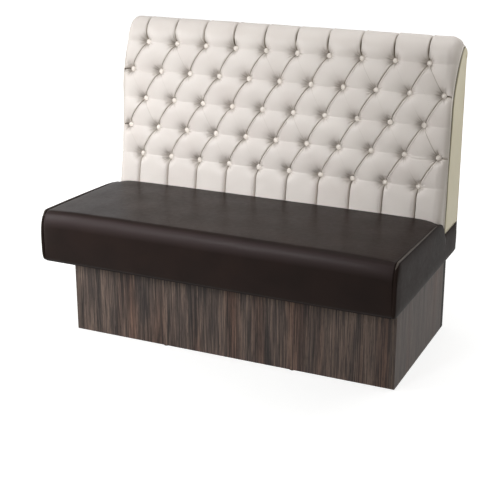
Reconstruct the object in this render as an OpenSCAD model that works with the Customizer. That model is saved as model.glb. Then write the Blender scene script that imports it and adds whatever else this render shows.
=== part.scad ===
// Upholstered banquette bench: woodgrain box plinth, dark padded seat and a deep-buttoned back.
// Origin: middle of the footprint, on the floor. X runs along the bench, Y to the rear, Z up.

/* [Bench] */
// Length between the two end seams of the upholstery
bench_l = 1200; // [1000:10:1800]
// Depth from the front crown of the seat to the rear cover
bench_d = 697; // [660:1:760]
// Height above the seat frame at which the back starts to roll over
roll_rise = 560; // [500:5:660]
// Gap left between pieces that lie against each other
fit = 0.3; // [0.2:0.05:0.4]

/* [Plinth] */
// How far the plinth stands in from the end seams of the upholstery
plinth_end_inset = 30; // [20:1:120]
// How far the plinth stands in from the front crown of the seat
plinth_front_inset = 150; // [120:1:180]
// Height of the plinth with its glides
plinth_h = 293; // [240:1:340]
// How far the plinth stands in from the rear of the bench
plinth_rear_inset = 3; // [3:1:10]
// Thickness of the faced chipboard panels
panel_t = 19; // [16:1:22]
// Thickness of the dark rear panel
rear_panel_t = 28; // [22:1:30]
// Thickness of the middle partition
partition_t = 16; // [16:1:22]
// Gap between the partition and the floor
partition_lift = 13; // [8:1:20]
// Thickness of the edge band on the end panels
edge_band_t = 1; // [0.5:0.5:2]
// Side of the square beech battens and corner blocks
batten = 30; // [25:1:35]
// Gap between the corner blocks and the floor
block_lift = 23; // [15:1:40]
// Diameter of the glides
glide_d = 17; // [14:1:18]
// Thickness of a glide under the panel edge
glide_t = 3; // [2:0.5:5]
// Diameter of a glide's pin
glide_pin_d = 2.8; // [2:0.1:4]
// Length of a glide's pin in the panel
glide_pin_l = 17; // [12:1:25]
// Distance of the outer glides from the panel ends
glide_inset = 45; // [35:1:70]

/* [Seat frame] */
// Height of the seat rails
seat_rail_h = 97; // [80:1:110]
// Thickness of the front, cross and end rails
seat_rail_t = 30; // [25:1:35]
// Thickness of the middle and rear rails
seat_heavy_rail_t = 40; // [35:1:45]
// Distance between the middle of the bench and a cross rail
cross_rail_x = 190; // [120:5:250]
// Leg of the triangular corner blocks
corner_leg = 60; // [45:1:75]
// Height of the triangular corner blocks
corner_h = 60; // [40:1:70]
// Thickness of the seat board
seat_board_t = 9; // [6:1:12]
// Diameter of the breather holes in the seat board
breather_d = 25; // [15:1:35]

/* [Seat upholstery] */
// How far the front of the seat swells past its end seams
seat_front_crown = 13; // [6:1:20]
// How far each end cover swells
seat_end_crown = 6; // [3:1:9]
// Height of the end seam above the seat frame at the front
seat_front_rise = 68.5; // [55:0.5:85]
// How much the seat falls towards the back
seat_fall = 18.5; // [8:0.5:25]
// How much the middle of the seat swells above the end seams
seat_top_crown = 11.5; // [6:0.5:16]
// Radius of the upper front edge
seat_edge_r = 32; // [24:1:38]
// Radius of the lower front edge
seat_under_r = 8; // [7:1:12]
// Thickness of the cover with its wadding
seat_cover_t = 5; // [4:0.5:6]
// Thickness of the cover where it is turned under
hem_t = 1.4; // [1:0.1:2]
// Width of the turned-under hem
hem_w = 24; // [18:1:35]
// How far the rounded rear of a seat end cover stops short of the end seam's foot
seat_slope_back = 16.5; // [14:0.5:20]
// Thickness of the padded end covers
end_pad_t = 8; // [7:0.5:9]
// Height of the welts above the cover
welt_h = 3; // [2:0.5:4]
// Width of the welts
welt_w = 5; // [3:0.5:6]
// Thickness of the rear covers
rear_cover_t = 2.7; // [1.5:0.1:3]
// Thickness of the cover where it goes down behind the foam
seat_wrap_t = 3; // [2:0.5:4]
// Thickness of the dust cloth
dust_cloth_t = 0.8; // [0.5:0.1:1]

/* [Back] */
// Lean of the back from upright, in degrees
back_lean = 8.75; // [5:0.25:12]
// Depth of the back at its foot, from the button seats to the rear cover
back_foot_d = 177.6; // [168:0.1:190]
// Depth of the tufts from crown to button seat
tuft_h = 39; // [30:1:44]
// Radius of the roll at the front
roll_front_r = 40; // [34:1:46]
// Thickness of the foam slab
slab_t = 25; // [20:1:30]
// Thickness of the tuft board
tuft_board_t = 9; // [6:1:12]
// Distance of the tuft board's top edge below the start of the roll
board_top_drop = 1.8; // [1:0.1:3]
// Thickness of the cover under a button
tuft_cover_t = 2; // [1:0.5:3]
// Thickness of the cheeks and ribs
cheek_t = 17; // [15:1:19]
// Height of the top board's rear edge
top_board_edge = 1.3; // [1:0.1:3]
// Height of the lower rails of the back
low_rail_h = 60; // [50:1:70]
// Height of the middle rail of the back
mid_rail_h = 50; // [40:1:56]
// How far the middle rail sits below the middle between two button rows
mid_rail_drop = 4; // [2:0.5:6]
// Depth of the lower and middle rails of the back
back_rail_d = 30; // [24:1:40]
// Thickness of the rear panel of the back
back_panel_t = 4; // [3:0.5:5]
// How far the foot of the end seam lies behind the button seats
seam_foot_back = 21.6; // [15:0.1:28]
// How far the end seam's highest turn lies behind the top of the roll
seam_tip_back = 3.6; // [2:0.1:6]
// How far the end seam's highest turn lies below the top of the roll
seam_tip_drop = 8.9; // [7:0.1:12]
// Width of the groove between the buttoned cover and the end cover
seam_groove = 8.5; // [8.5:0.1:11]
// Height of the puffs at the foot of the back
tuft_foot_h = 8; // [4:1:12]

/* [Buttons] */
// Wanted distance between buttons in a row
button_pitch_wish = 113; // [90:1:140]
// Distance of the outermost buttons from the end seams
button_edge = 35; // [30:1:45]
// Height between two rows
row_step = 97.4; // [85:0.1:105]
// Distance of the top row below the start of the roll
top_row_drop = 18; // [14:1:26]
// Diameter of the covered buttons
button_d = 18; // [14:1:20]
// Height of the button rim
button_rim = 1.2; // [0.8:0.1:2]
// Height of the button dome
button_dome = 3.5; // [2:0.1:5]
// Diameter of a button's lower tip, where the twine is tied
button_tip_d = 1.2; // [1:0.1:2]
// How far the stacked parts of a button run into each other
button_join = 0.1; // [0.05:0.05:0.2]
// Diameter of the twine
twine_d = 2; // [1:0.5:3]
// Diameter of the twine holes in board and foam
twine_hole_d = 6; // [4:0.5:8]
// Diameter of the anchor washers
anchor_d = 14; // [10:1:14]
// Thickness of the anchor washers
anchor_t = 2; // [1:0.5:3]

/* [Fasteners] */
// Diameter of the dowels
dowel_d = 8; // [6:1:10]
// Length of the dowels
dowel_l = 30; // [25:1:35]
// Diameter of the wood screws
screw_d = 5; // [4:0.5:6]
// Diameter of the wood screw heads
screw_head_d = 10; // [8:0.5:11]
// Thickness of the wood screw heads
screw_head_t = 3; // [2:0.5:4]
// Length of the batten screws
batten_screw_l = 42; // [38:1:44]
// Distance of the seat fixing screws from the plinth panels
fixing_in = 10; // [8:1:14]
// Length of the frame screws
frame_screw_l = 70; // [60:1:90]
// Diameter of the coach screws
coach_d = 8; // [6:1:10]
// Length of the coach screws
coach_l = 120; // [90:1:140]
// Diameter of the coach screws' six-sided heads across the corners
coach_head_d = 15; // [12:0.5:18]
// Thickness of the coach screws' heads
coach_head_t = 5.5; // [4:0.5:7]
// Diameter of the washers under the coach screws
washer_d = 24; // [20:1:28]
// Thickness of the washers
washer_t = 2; // [1.5:0.5:3]

/* [Hidden] */
$fn = 48;
// Overrun of every cut past the face that it leaves
over = 2;

// Places shared by the whole bench
half_l = bench_l / 2;
rear_y = bench_d / 2;
front_y = seat_front_crown - bench_d / 2;
wood_half = half_l - end_pad_t;
wood_rear_y = rear_y - rear_cover_t - fit;
deck_z = plinth_h + seat_rail_h;
roll_z = deck_z + roll_rise;

// Plinth
plinth_half = half_l - plinth_end_inset;
plinth_rear_y = rear_y - plinth_rear_inset;
plinth_front_y = plinth_front_inset - bench_d / 2;
panel_h = plinth_h - glide_t;
end_panel_rear_y = plinth_rear_y - rear_panel_t;
inner_x = plinth_half - panel_t;
inner_front_y = plinth_front_y + panel_t;
inner_d = end_panel_rear_y - inner_front_y;
batten_z = plinth_h - batten;
glide_x_share = 0.4;
dowel_shares = [0.2, 0.5, 0.8];
dowel_in_share = 0.67;
long_screw_shares = [-0.8, -0.3, 0.3, 0.8];
side_screw_shares = [0.2, 0.8];
fixing_shares = [-0.85, -0.5, 0.5, 0.85];

// Seat frame
seat_front_y = front_y + seat_cover_t + fit;
end_rail_x = wood_half - seat_rail_t;
mid_rail_y = plinth_front_y + panel_t / 2;
rear_rail_y = wood_rear_y - seat_heavy_rail_t;
frame_screw_shares = [0.25, 0.75];
breather_x_shares = [-0.8, -0.5, -0.17, 0.17, 0.5, 0.8];
breather_y_shares = [0.2, 0.5, 0.8];

// Button rows, from the top row down
button_count = round((bench_l - 2 * button_edge) / button_pitch_wish) + 1;
button_pitch = (bench_l - 2 * button_edge) / (button_count - 1);
button_rows = 5;
field_half = half_l - button_edge;
top_row_z = roll_z - top_row_drop;
low_row_z = top_row_z - (button_rows - 1) * row_step;

// Base line of the back: here the buttons pull the cover down to the foam slab
heading = 90 - back_lean;
base_foot_y = rear_y - back_foot_d;
base_roll_y = base_foot_y + (roll_z - deck_z) * tan(back_lean);
roll_top_y = base_roll_y + roll_front_r * sin(heading);
roll_top_z = roll_z + roll_front_r * (1 - cos(heading));
roll_rear_r = wood_rear_y - roll_top_y;
roll_end = 85;
front_roll_l = roll_front_r * heading * PI / 180;
rear_roll_l = roll_rear_r * roll_end * PI / 180;
roll_l = front_roll_l + rear_roll_l;
cover_edge_z = roll_top_z - roll_rear_r * (1 - cos(roll_end));
slab_in = tuft_cover_t + fit;
board_in = slab_in + slab_t + fit;
frame_in = board_in + tuft_board_t;
frame_rear_y = wood_rear_y - back_panel_t;
cheek_inner_x = wood_half - cheek_t;
rib_pitch_share = 1.75;
rib_x = button_pitch * rib_pitch_share;
mid_rail_row_share = 1.5;
mid_rail_z = low_row_z + row_step * mid_rail_row_share - mid_rail_h / 2 - mid_rail_drop;

// Line of the end seam of the back, which leans less and turns over later
seam_lean_share = 0.22;
seam_turn = 40;
seam_end = 80;
seam_heading = 90 - back_lean * seam_lean_share;
seam_foot_y = base_foot_y + seam_foot_back;
seam_tip_y = roll_top_y + seam_tip_back;
seam_tip_z = roll_top_z - seam_tip_drop;
seam_rise = cos(seam_turn) - cos(seam_heading);
seam_run = sin(seam_heading) - sin(seam_turn);
seam_slope = tan(90 - seam_heading);
seam_r = (seam_tip_y - seam_foot_y - (seam_tip_z - deck_z) * seam_slope)
    / (seam_run - seam_rise * seam_slope);
seam_bend_z = seam_tip_z - seam_r * seam_rise;
seam_bend_y = seam_foot_y + (seam_bend_z - deck_z) * seam_slope;
seam_tip_r = (wood_rear_y - seam_tip_y) / (sin(seam_turn) + sin(seam_end));
seam_bend_l = seam_r * (seam_heading - seam_turn) * PI / 180;
seam_l = seam_bend_l + seam_tip_r * (seam_turn + seam_end) * PI / 180;

// The nearest row of puffs touches the rear of the seat cushion
low_strips = 3;
touch_z = deck_z + (low_row_z - deck_z) / low_strips;
seat_back_y = base_y(touch_z) - tuft_h * cos(back_lean) - fit;
seat_ridge_y = front_y + seat_edge_r;
seat_hem_z = plinth_h - hem_t - fit;
hem_end_y = front_y + hem_w;
board_top_z = deck_z + seat_board_t;

// Unit normal of a line with this heading, out of the bench
function normal(angle) = [-sin(angle), cos(angle)];

// Heading, after a length t along a line that turns over in two arcs
function turned(t, h0, r1, h1, r2, l1) =
    t <= 0 ? h0
    : t <= l1 ? h0 - t / r1 * 180 / PI
    : h1 - (t - l1) / r2 * 180 / PI;

// Place after a length t along such a line, that starts to turn at p
function turned_place(t, p, h0, r1, h1, r2, l1) =
    let (h = turned(t, h0, r1, h1, r2, l1))
    let (c1 = p - r1 * normal(h0))
    let (c2 = c1 + (r1 - r2) * normal(h1))
    t <= 0 ? p + t * [cos(h0), sin(h0)]
    : t <= l1 ? c1 + r1 * normal(h)
    : c2 + r2 * normal(h);

function base_heading(t) = turned(t, heading, roll_front_r, 0, roll_rear_r, front_roll_l);
function base_at(t, inset = 0) =
    turned_place(t, [base_roll_y, roll_z], heading, roll_front_r, 0, roll_rear_r, front_roll_l)
    - inset * normal(base_heading(t));
function base_y(z) = base_foot_y + (z - deck_z) * tan(back_lean);
function base_t(z) = (z - roll_z) / sin(heading);

function seam_turned(t) = turned(t, seam_heading, seam_r, seam_turn, seam_tip_r, seam_bend_l);
function seam_at(t, inset = 0) =
    turned_place(t, [seam_bend_y, seam_bend_z], seam_heading, seam_r, seam_turn, seam_tip_r,
        seam_bend_l)
    - inset * normal(seam_turned(t));
// Length along the seam line at a height on its front part
function seam_t(z) =
    z <= seam_bend_z ? (z - seam_bend_z) / sin(seam_heading)
    : let (h = acos((z - seam_bend_z) / seam_r + cos(seam_heading)))
      seam_r * (seam_heading - h) * PI / 180;

// Wooden outline under the foam: full inset over the front, thin at the rear end
function frame_inset(t) =
    t <= front_roll_l ? board_in
    : board_in + (back_panel_t - board_in) * (t - front_roll_l) / rear_roll_l;
roll_steps = 12;
roll_step_shares = [for (i = [0 : roll_steps]) i / roll_steps];
roll_frame_points = [for (s = roll_step_shares) base_at(s * roll_l, frame_inset(s * roll_l))];
frame_edge_z = roll_frame_points[roll_steps][1] - fit;
top_board_z = frame_edge_z - top_board_edge;

// Front face of the frame behind the tuft board at height z
function frame_front_y(z, gap = 0) = base_y(z) + (frame_in + gap) / cos(back_lean);

// Draws an outline of [Y, Z] points as a slab from x0 to x1
module along_x(x0, x1) {
    translate([x0, 0, 0])
        rotate([90, 0, 90])
            linear_extrude(x1 - x0)
                children();
}

// Box from one corner to the other
module block(low, high) {
    translate(low)
        cube(high - low);
}

// Puts its children on the leaning face of the back, with Z pointing out of it
module on_face(x, z, inset = 0) {
    place = base_at(base_t(z), inset);
    translate([x, place[0], place[1]])
        rotate([heading, 0, 0])
            children();
}

module on_each_button() {
    for (row = [0 : button_rows - 1]) {
        count = row % 2 == 0 ? button_count - 1 : button_count;
        for (i = [0 : count - 1])
            on_face((i - (count - 1) / 2) * button_pitch, top_row_z - row * row_step)
                children();
    }
}

// Both ends of the bench alike
module both_ends() {
    children();
    mirror([1, 0, 0])
        children();
}

// Screw along +Z: its tip at zero, its head past length l
module screw(l, grow = 0) {
    cylinder(d = screw_d + 2 * grow, h = l + grow);
    translate([0, 0, l - grow])
        cylinder(d = screw_head_d + 2 * grow, h = screw_head_t + grow + (grow > 0 ? over : 0));
}

// Closed soft form from rows of nodes. Each node is [order, place], each row runs to the
// right, the rows run upwards, and the rear rows stand behind the front rows.
function start_of(rows, i) = i == 0 ? 0 : start_of(rows, i - 1) + len(rows[i - 1]);
function indexed(rows, first) =
    [for (i = [0 : len(rows) - 1])
        [for (j = [0 : len(rows[i]) - 1]) [first + start_of(rows, i) + j, rows[i][j][0]]]];
function laced(a, b, i = 0, j = 0) =
    i >= len(a) - 1 && j >= len(b) - 1 ? []
    : j >= len(b) - 1
        || (i < len(a) - 1 && abs(a[i + 1][1] - b[j][1]) <= abs(b[j + 1][1] - a[i][1]))
        ? concat([[a[i + 1][0], a[i][0], b[j][0]]], laced(a, b, i + 1, j))
        : concat([[b[j][0], b[j + 1][0], a[i][0]]], laced(a, b, i, j + 1));
function flat(lists) = [for (list = lists) for (item = list) item];

module soft_form(front, rear) {
    count = start_of(front, len(front));
    f = indexed(front, 0);
    r = indexed(rear, count);
    last = len(front) - 1;
    fe = [for (row = f) row[len(row) - 1][0]];
    re = [for (row = r) row[len(row) - 1][0]];
    front_faces = flat([for (i = [0 : last - 1]) laced(f[i], f[i + 1])]);
    rear_faces = flat([for (i = [0 : last - 1]) laced(r[i + 1], r[i])]);
    end_faces = flat([for (i = [0 : last - 1]) [
        [r[i][0][0], r[i + 1][0][0], f[i + 1][0][0]],
        [r[i][0][0], f[i + 1][0][0], f[i][0][0]],
        [fe[i], fe[i + 1], re[i + 1]],
        [fe[i], re[i + 1], re[i]]]]);
    points = [for (rows = [front, rear]) for (row = rows) for (item = row) item[1]];
    polyhedron(points, concat(front_faces, rear_faces, end_faces,
        laced(r[0], f[0]), laced(f[last], r[last])));
}

// Plinth pieces

module end_glides_at() {
    for (y = [plinth_front_y + glide_inset, end_panel_rear_y - glide_inset])
        both_ends()
            translate([plinth_half - panel_t / 2, y, 0])
                children();
}

module long_glides_at() {
    for (y = [plinth_front_y + panel_t / 2, plinth_rear_y - rear_panel_t / 2])
        both_ends()
            translate([plinth_half * glide_x_share, y, 0])
                children();
}

module glide() {
    cylinder(d = glide_d, h = glide_t);
    cylinder(d = glide_pin_d, h = glide_t + glide_pin_l);
}

module glide_hole() {
    translate([0, 0, glide_t - over])
        cylinder(d = glide_pin_d + 2 * fit, h = glide_pin_l + over + fit);
}

module plinth_glides() {
    color("#202020") {
        end_glides_at()
            glide();
        long_glides_at()
            glide();
    }
}

// Dowels that locate the front panel and the rear panel on the end panels
module dowel_set(grow = 0) {
    for (s = dowel_shares) {
        z = glide_t + panel_h * s;
        both_ends()
            translate([inner_x - dowel_l * dowel_in_share - grow, plinth_front_y + panel_t / 2, z])
                rotate([0, 90, 0])
                    cylinder(d = dowel_d + 2 * grow, h = dowel_l + 2 * grow);
        both_ends()
            translate([plinth_half - panel_t / 2, end_panel_rear_y + dowel_l / 2 + grow, z])
                rotate([90, 0, 0])
                    cylinder(d = dowel_d + 2 * grow, h = dowel_l + 2 * grow);
    }
}

// Screws from the plinth's inside through the top battens into the panels
module batten_screw_set(grow = 0) {
    z = plinth_h - batten / 2;
    for (s = long_screw_shares) {
        translate([inner_x * s, inner_front_y + batten - batten_screw_l, z])
            rotate([-90, 0, 0])
                screw(batten_screw_l - screw_head_t, grow);
        translate([inner_x * s, end_panel_rear_y - batten + batten_screw_l, z])
            rotate([90, 0, 0])
                screw(batten_screw_l - screw_head_t, grow);
    }
    for (s = side_screw_shares)
        both_ends()
            translate([inner_x - batten + batten_screw_l, inner_front_y + inner_d * s, z])
                rotate([0, -90, 0])
                    screw(batten_screw_l - screw_head_t, grow);
}

// Screws up through the battens into the seat frame
module fixing_screw_set(grow = 0) {
    for (s = fixing_shares)
        for (y = [inner_front_y + fixing_in, end_panel_rear_y - fixing_in])
            translate([inner_x * s, y, batten_z + frame_screw_l])
                rotate([180, 0, 0])
                    screw(frame_screw_l - screw_head_t, grow);
}

module plinth_front_panel() {
    color("#5a524e")
        difference() {
            block([-inner_x, plinth_front_y, glide_t], [inner_x, inner_front_y, plinth_h]);
            dowel_set(fit);
            batten_screw_set(fit);
            long_glides_at()
                glide_hole();
        }
}

module plinth_end_panel(side) {
    color("#69625c")
        mirror([side < 0 ? 1 : 0, 0, 0])
            difference() {
                block([inner_x, plinth_front_y + edge_band_t, glide_t],
                    [plinth_half, end_panel_rear_y, plinth_h]);
                dowel_set(fit);
                batten_screw_set(fit);
                end_glides_at()
                    glide_hole();
            }
}

module plinth_left_panel() {
    plinth_end_panel(-1);
}

module plinth_right_panel() {
    plinth_end_panel(1);
}

module plinth_rear_panel() {
    color("#2a2422")
        difference() {
            block([-plinth_half, end_panel_rear_y, glide_t],
                [plinth_half, plinth_rear_y, plinth_h]);
            dowel_set(fit);
            batten_screw_set(fit);
            long_glides_at()
                glide_hole();
        }
}

// The partition's top corners are notched for the long battens
module plinth_partition() {
    notch = batten + fit;
    color("#8a7a66")
        difference() {
            block([-partition_t / 2, inner_front_y, partition_lift],
                [partition_t / 2, end_panel_rear_y, plinth_h]);
            block([-partition_t, inner_front_y - over, plinth_h - notch],
                [partition_t, inner_front_y + notch, plinth_h + over]);
            block([-partition_t, end_panel_rear_y - notch, plinth_h - notch],
                [partition_t, end_panel_rear_y + over, plinth_h + over]);
        }
}

module plinth_edge_bands() {
    color("#4a4340")
        both_ends()
            block([inner_x, plinth_front_y, glide_t],
                [plinth_half, plinth_front_y + edge_band_t, plinth_h]);
}

module long_batten(y) {
    color("#c9a877")
        difference() {
            block([-inner_x, y, batten_z], [inner_x, y + batten, plinth_h]);
            batten_screw_set(fit);
            fixing_screw_set(fit);
        }
}

module plinth_front_batten() {
    long_batten(inner_front_y);
}

module plinth_rear_batten() {
    long_batten(end_panel_rear_y - batten);
}

module side_batten(side) {
    color("#c9a877")
        mirror([side < 0 ? 1 : 0, 0, 0])
            difference() {
                block([inner_x - batten, inner_front_y + batten, batten_z],
                    [inner_x, end_panel_rear_y - batten, plinth_h]);
                batten_screw_set(fit);
            }
}

module plinth_left_batten() {
    side_batten(-1);
}

module plinth_right_batten() {
    side_batten(1);
}

module plinth_corner_blocks() {
    color("#c9a877")
        both_ends()
            for (y = [inner_front_y, end_panel_rear_y - batten])
                block([inner_x - batten, y, block_lift], [inner_x, y + batten, batten_z - fit]);
}

module plinth_dowels() {
    color("#d8bd8c")
        dowel_set();
}

module plinth_batten_screws() {
    color("#b8b09a")
        batten_screw_set();
}

module seat_fixing_screws() {
    color("#b8b09a")
        fixing_screw_set();
}

// Seat frame pieces

// Screws from the end rails into the front, middle and rear rails
module seat_frame_screw_set(grow = 0) {
    rails_y = [seat_front_y + seat_rail_t / 2, mid_rail_y + seat_heavy_rail_t / 2,
        rear_rail_y + seat_heavy_rail_t / 2];
    for (y = rails_y)
        for (s = frame_screw_shares)
            both_ends()
                translate([wood_half - frame_screw_l, y, plinth_h + seat_rail_h * s])
                    rotate([0, 90, 0])
                        screw(frame_screw_l - screw_head_t, grow);
}

module coach_screw_set(grow = 0) {
    z = deck_z + low_rail_h + washer_t;
    for (s = fixing_shares)
        translate([end_rail_x * s, coach_y(), z - coach_l])
            cylinder(d = coach_d + 2 * grow, h = coach_l + grow);
}

function coach_y() = frame_rear_y - back_rail_d / 2;

module seat_long_rail(y, depth) {
    color("#d8b98a")
        difference() {
            block([-end_rail_x, y, plinth_h], [end_rail_x, y + depth, deck_z]);
            seat_frame_screw_set(fit);
            fixing_screw_set(fit);
            coach_screw_set(fit);
        }
}

module seat_front_rail() {
    seat_long_rail(seat_front_y, seat_rail_t);
}

module seat_middle_rail() {
    seat_long_rail(mid_rail_y, seat_heavy_rail_t);
}

module seat_rear_rail() {
    seat_long_rail(rear_rail_y, seat_heavy_rail_t);
}

module seat_end_rail(side) {
    color("#d8b98a")
        mirror([side < 0 ? 1 : 0, 0, 0])
            difference() {
                block([end_rail_x, seat_front_y, plinth_h], [wood_half, wood_rear_y, deck_z]);
                seat_frame_screw_set(fit);
            }
}

module seat_left_rail() {
    seat_end_rail(-1);
}

module seat_right_rail() {
    seat_end_rail(1);
}

module seat_cross_rail(side, y0, y1) {
    color("#d8b98a")
        block([side * cross_rail_x - seat_rail_t / 2, y0, plinth_h],
            [side * cross_rail_x + seat_rail_t / 2, y1, deck_z]);
}

module seat_front_left_cross_rail() {
    seat_cross_rail(-1, seat_front_y + seat_rail_t, mid_rail_y);
}

module seat_front_right_cross_rail() {
    seat_cross_rail(1, seat_front_y + seat_rail_t, mid_rail_y);
}

module seat_rear_left_cross_rail() {
    seat_cross_rail(-1, mid_rail_y + seat_heavy_rail_t, rear_rail_y);
}

module seat_rear_right_cross_rail() {
    seat_cross_rail(1, mid_rail_y + seat_heavy_rail_t, rear_rail_y);
}

module corner_block(y, turn) {
    translate([end_rail_x, y, deck_z - seat_rail_h / 2 - corner_h / 2])
        linear_extrude(corner_h)
            polygon([[0, 0], [-corner_leg, 0], [0, turn * corner_leg]]);
}

module seat_corner_blocks() {
    color("#c9a877")
        both_ends() {
            corner_block(seat_front_y + seat_rail_t, 1);
            corner_block(rear_rail_y, -1);
        }
}

module seat_frame_screws() {
    color("#b8b09a")
        seat_frame_screw_set();
}

module seat_board() {
    front = seat_front_y;
    back = seat_back_y - seat_wrap_t - fit;
    color("#d9c39a")
        difference() {
            block([-wood_half, front, deck_z], [wood_half, back, board_top_z]);
            for (sx = breather_x_shares)
                for (sy = breather_y_shares)
                    translate([end_rail_x * sx, front + (back - front) * sy, deck_z - over])
                        cylinder(d = breather_d, h = seat_board_t + 2 * over);
        }
}

// Seat upholstery

// Shares of the front face's height, and how much of its swell each height has
face_shares = [0.2, 0.4, 0.6, 0.8];
face_swell_shares = [0.7, 0.97, 1, 0.82];
edge_swell_share = 0.45;
edge_turns = [180, 157.5, 135, 112.5, 90];
under_turn = 45;
crown_power = 6;
top_shares = [0.15, 0.35, 0.55, 0.75, 0.9];
rear_crown_share = 0.6;

function mix(a, b, s) = a + (b - a) * s;
function seat_top_z(u, crown) =
    deck_z + seat_front_rise - seat_fall * u
    + crown * seat_top_crown * mix(1, rear_crown_share, u);

// Section of the seat cover, from the hem up the front and over the top to the rear
function seat_face(crown, inset, low_z, low_r) =
    let (y0 = front_y + inset)
    let (r = seat_edge_r - inset)
    let (z0 = low_z + low_r)
    let (z1 = seat_top_z(0, crown) - seat_edge_r)
    let (yc = seat_ridge_y - crown * seat_front_crown * edge_swell_share)
    concat(
        [[y0 + low_r * (1 - sin(under_turn)), low_z + low_r * (1 - cos(under_turn))], [y0, z0]],
        [for (i = [0 : len(face_shares) - 1])
            [y0 - crown * seat_front_crown * face_swell_shares[i], mix(z0, z1, face_shares[i])]],
        [for (a = edge_turns) [yc + r * cos(a), z1 + r * sin(a)]]);
function seat_top(crown, inset, back_y) =
    [for (u = top_shares)
        [mix(seat_ridge_y, back_y, u), seat_top_z(u, crown) - inset]];
function seat_section(crown, inset, low_z, low_r, back_y, rear_r) =
    let (rear_z = seat_top_z(1, crown) - inset)
    concat(
        [[hem_end_y, low_z], [front_y + inset + low_r, low_z]],
        seat_face(crown, inset, low_z, low_r),
        seat_top(crown, inset, back_y),
        [[back_y - rear_r, rear_z], [back_y, rear_z - rear_r], [back_y, board_top_z + fit]]);

// Places along the bench where the seat cover has a node, as shares of its half length
seat_node_shares = [-1, -0.99, -0.96, -0.9, -0.78, -0.6, -0.35, 0,
    0.35, 0.6, 0.78, 0.9, 0.96, 0.99, 1];
function crown_at(share) = sqrt(1 - pow(abs(share), crown_power));

module seat_cover() {
    outer = [for (s = seat_node_shares)
        seat_section(crown_at(s), 0, seat_hem_z, seat_under_r, seat_back_y, seat_wrap_t)];
    inner = seat_section(0, seat_cover_t, plinth_h - fit, fit, seat_back_y - seat_wrap_t, fit);
    front = [for (k = [0 : len(inner) - 1])
        [for (j = [0 : len(seat_node_shares) - 1])
            [seat_node_shares[j],
                [seat_node_shares[j] * wood_half, outer[j][k][0], outer[j][k][1]]]]];
    rear = [for (k = [0 : len(inner) - 1])
        [for (s = [-1, 1]) [s, [s * wood_half, inner[k][0], inner[k][1]]]]];
    color("#3a302d")
        soft_form(front, rear);
}

module seat_foam() {
    inset = seat_cover_t + fit;
    back = seat_back_y - seat_wrap_t - fit;
    face = [for (p = seat_face(0, inset, plinth_h, fit)) if (p[1] > board_top_z) p];
    color("#e6d9a8")
        along_x(-wood_half, wood_half)
            polygon(concat([[seat_front_y, board_top_z]], face, seat_top(0, inset, back),
                [[back, seat_top_z(1, 0) - inset], [back, board_top_z]]));
}

// Heights of an end cover's nodes, and how far each swells
end_node_shares = [0, 0.15, 0.4, 0.65, 0.88, 1];
end_swell_shares = [0, 0.6, 1, 0.95, 0.5, 0];
front_swell_share = 0.6;
// Outline of an end cover: over the rear, down the rounded slope and along the top
rear_middle_share = 0.5;
slope_y_shares = [0.15, 0.5];
slope_z_shares = [0.25, 0.7];
end_top_shares = [0.65, 0.3, 0];
corner_turns = [112.5, 135, 157.5, 180];

module seat_end_cover(side) {
    slope_h = seat_top_z(1, 0) - deck_z;
    slope_y = seam_foot_y - seat_slope_back;
    slope_d = slope_y - seat_back_y;
    edge = [for (a = corner_turns)
        [seat_ridge_y + seat_edge_r * cos(a),
            seat_top_z(0, 0) - seat_edge_r * (1 - sin(a)), seat_swell(a)]];
    stations = concat(
        [[wood_rear_y, deck_z - fit, 0],
            [mix(wood_rear_y, slope_y, rear_middle_share), deck_z - fit, 1],
            [slope_y, deck_z - fit, 1]],
        [for (i = [0 : len(slope_y_shares) - 1])
            [slope_y - slope_d * slope_y_shares[i], deck_z + slope_h * slope_z_shares[i], 1]],
        [[seat_back_y, deck_z + slope_h, 1]],
        [for (u = end_top_shares) [mix(seat_ridge_y, seat_back_y, u), seat_top_z(u, 0), 1]],
        edge);
    front = [for (s = stations)
        let (low = seat_hem_z + under_rise(s[0] - front_y))
        [for (i = [0 : len(end_node_shares) - 1])
            [end_node_shares[i],
                [half_l + seat_end_crown * s[2] * end_swell_shares[i], s[0],
                    mix(low, s[1], end_node_shares[i])]]]];
    rear = [for (s = stations)
        [[0, [wood_half + fit, s[0], seat_hem_z + under_rise(s[0] - front_y)]],
            [1, [wood_half + fit, s[0], s[1]]]]];
    color("#3e3a36")
        mirror([side < 0 ? 1 : 0, 0, 0])
            soft_form(front, rear);
}

// The swell fades from full at the ridge to its front share at the corner
function seat_swell(a) = mix(1, front_swell_share, (a - 90) / 90);
function under_rise(d) =
    d >= seat_under_r ? 0 : seat_under_r - sqrt(pow(seat_under_r, 2) - pow(seat_under_r - d, 2));

module seat_left_cover() {
    seat_end_cover(-1);
}

module seat_right_cover() {
    seat_end_cover(1);
}

// Turned seam that stands on the upper and front edge of the seat's end
module seat_welt(side) {
    low_z = seat_hem_z + seat_under_r;
    outer = concat(seat_face(0, -welt_h, low_z, 0), seat_top(0, -welt_h, seat_back_y));
    inner = concat(seat_face(0, -fit, low_z, 0), seat_top(0, -fit, seat_back_y));
    count = len(outer);
    color("#4a423e")
        mirror([side < 0 ? 1 : 0, 0, 0])
            along_x(half_l - welt_w - fit, half_l - fit)
                polygon(concat([for (i = [1 : count - 1]) outer[i]],
                    [for (i = [count - 1 : -1 : 1]) inner[i]]));
}

module seat_left_welt() {
    seat_welt(-1);
}

module seat_right_welt() {
    seat_welt(1);
}

module seat_rear_cover() {
    color("#35302d")
        block([-half_l, wood_rear_y + fit, seat_hem_z], [half_l, rear_y, deck_z - fit]);
}

module seat_dust_cloth() {
    color("#1c1c1c")
        block([-wood_half, hem_end_y + fit, plinth_h - fit - dust_cloth_t],
            [wood_half, plinth_front_y - fit, plinth_h - fit]);
}

// Frame of the back

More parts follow.
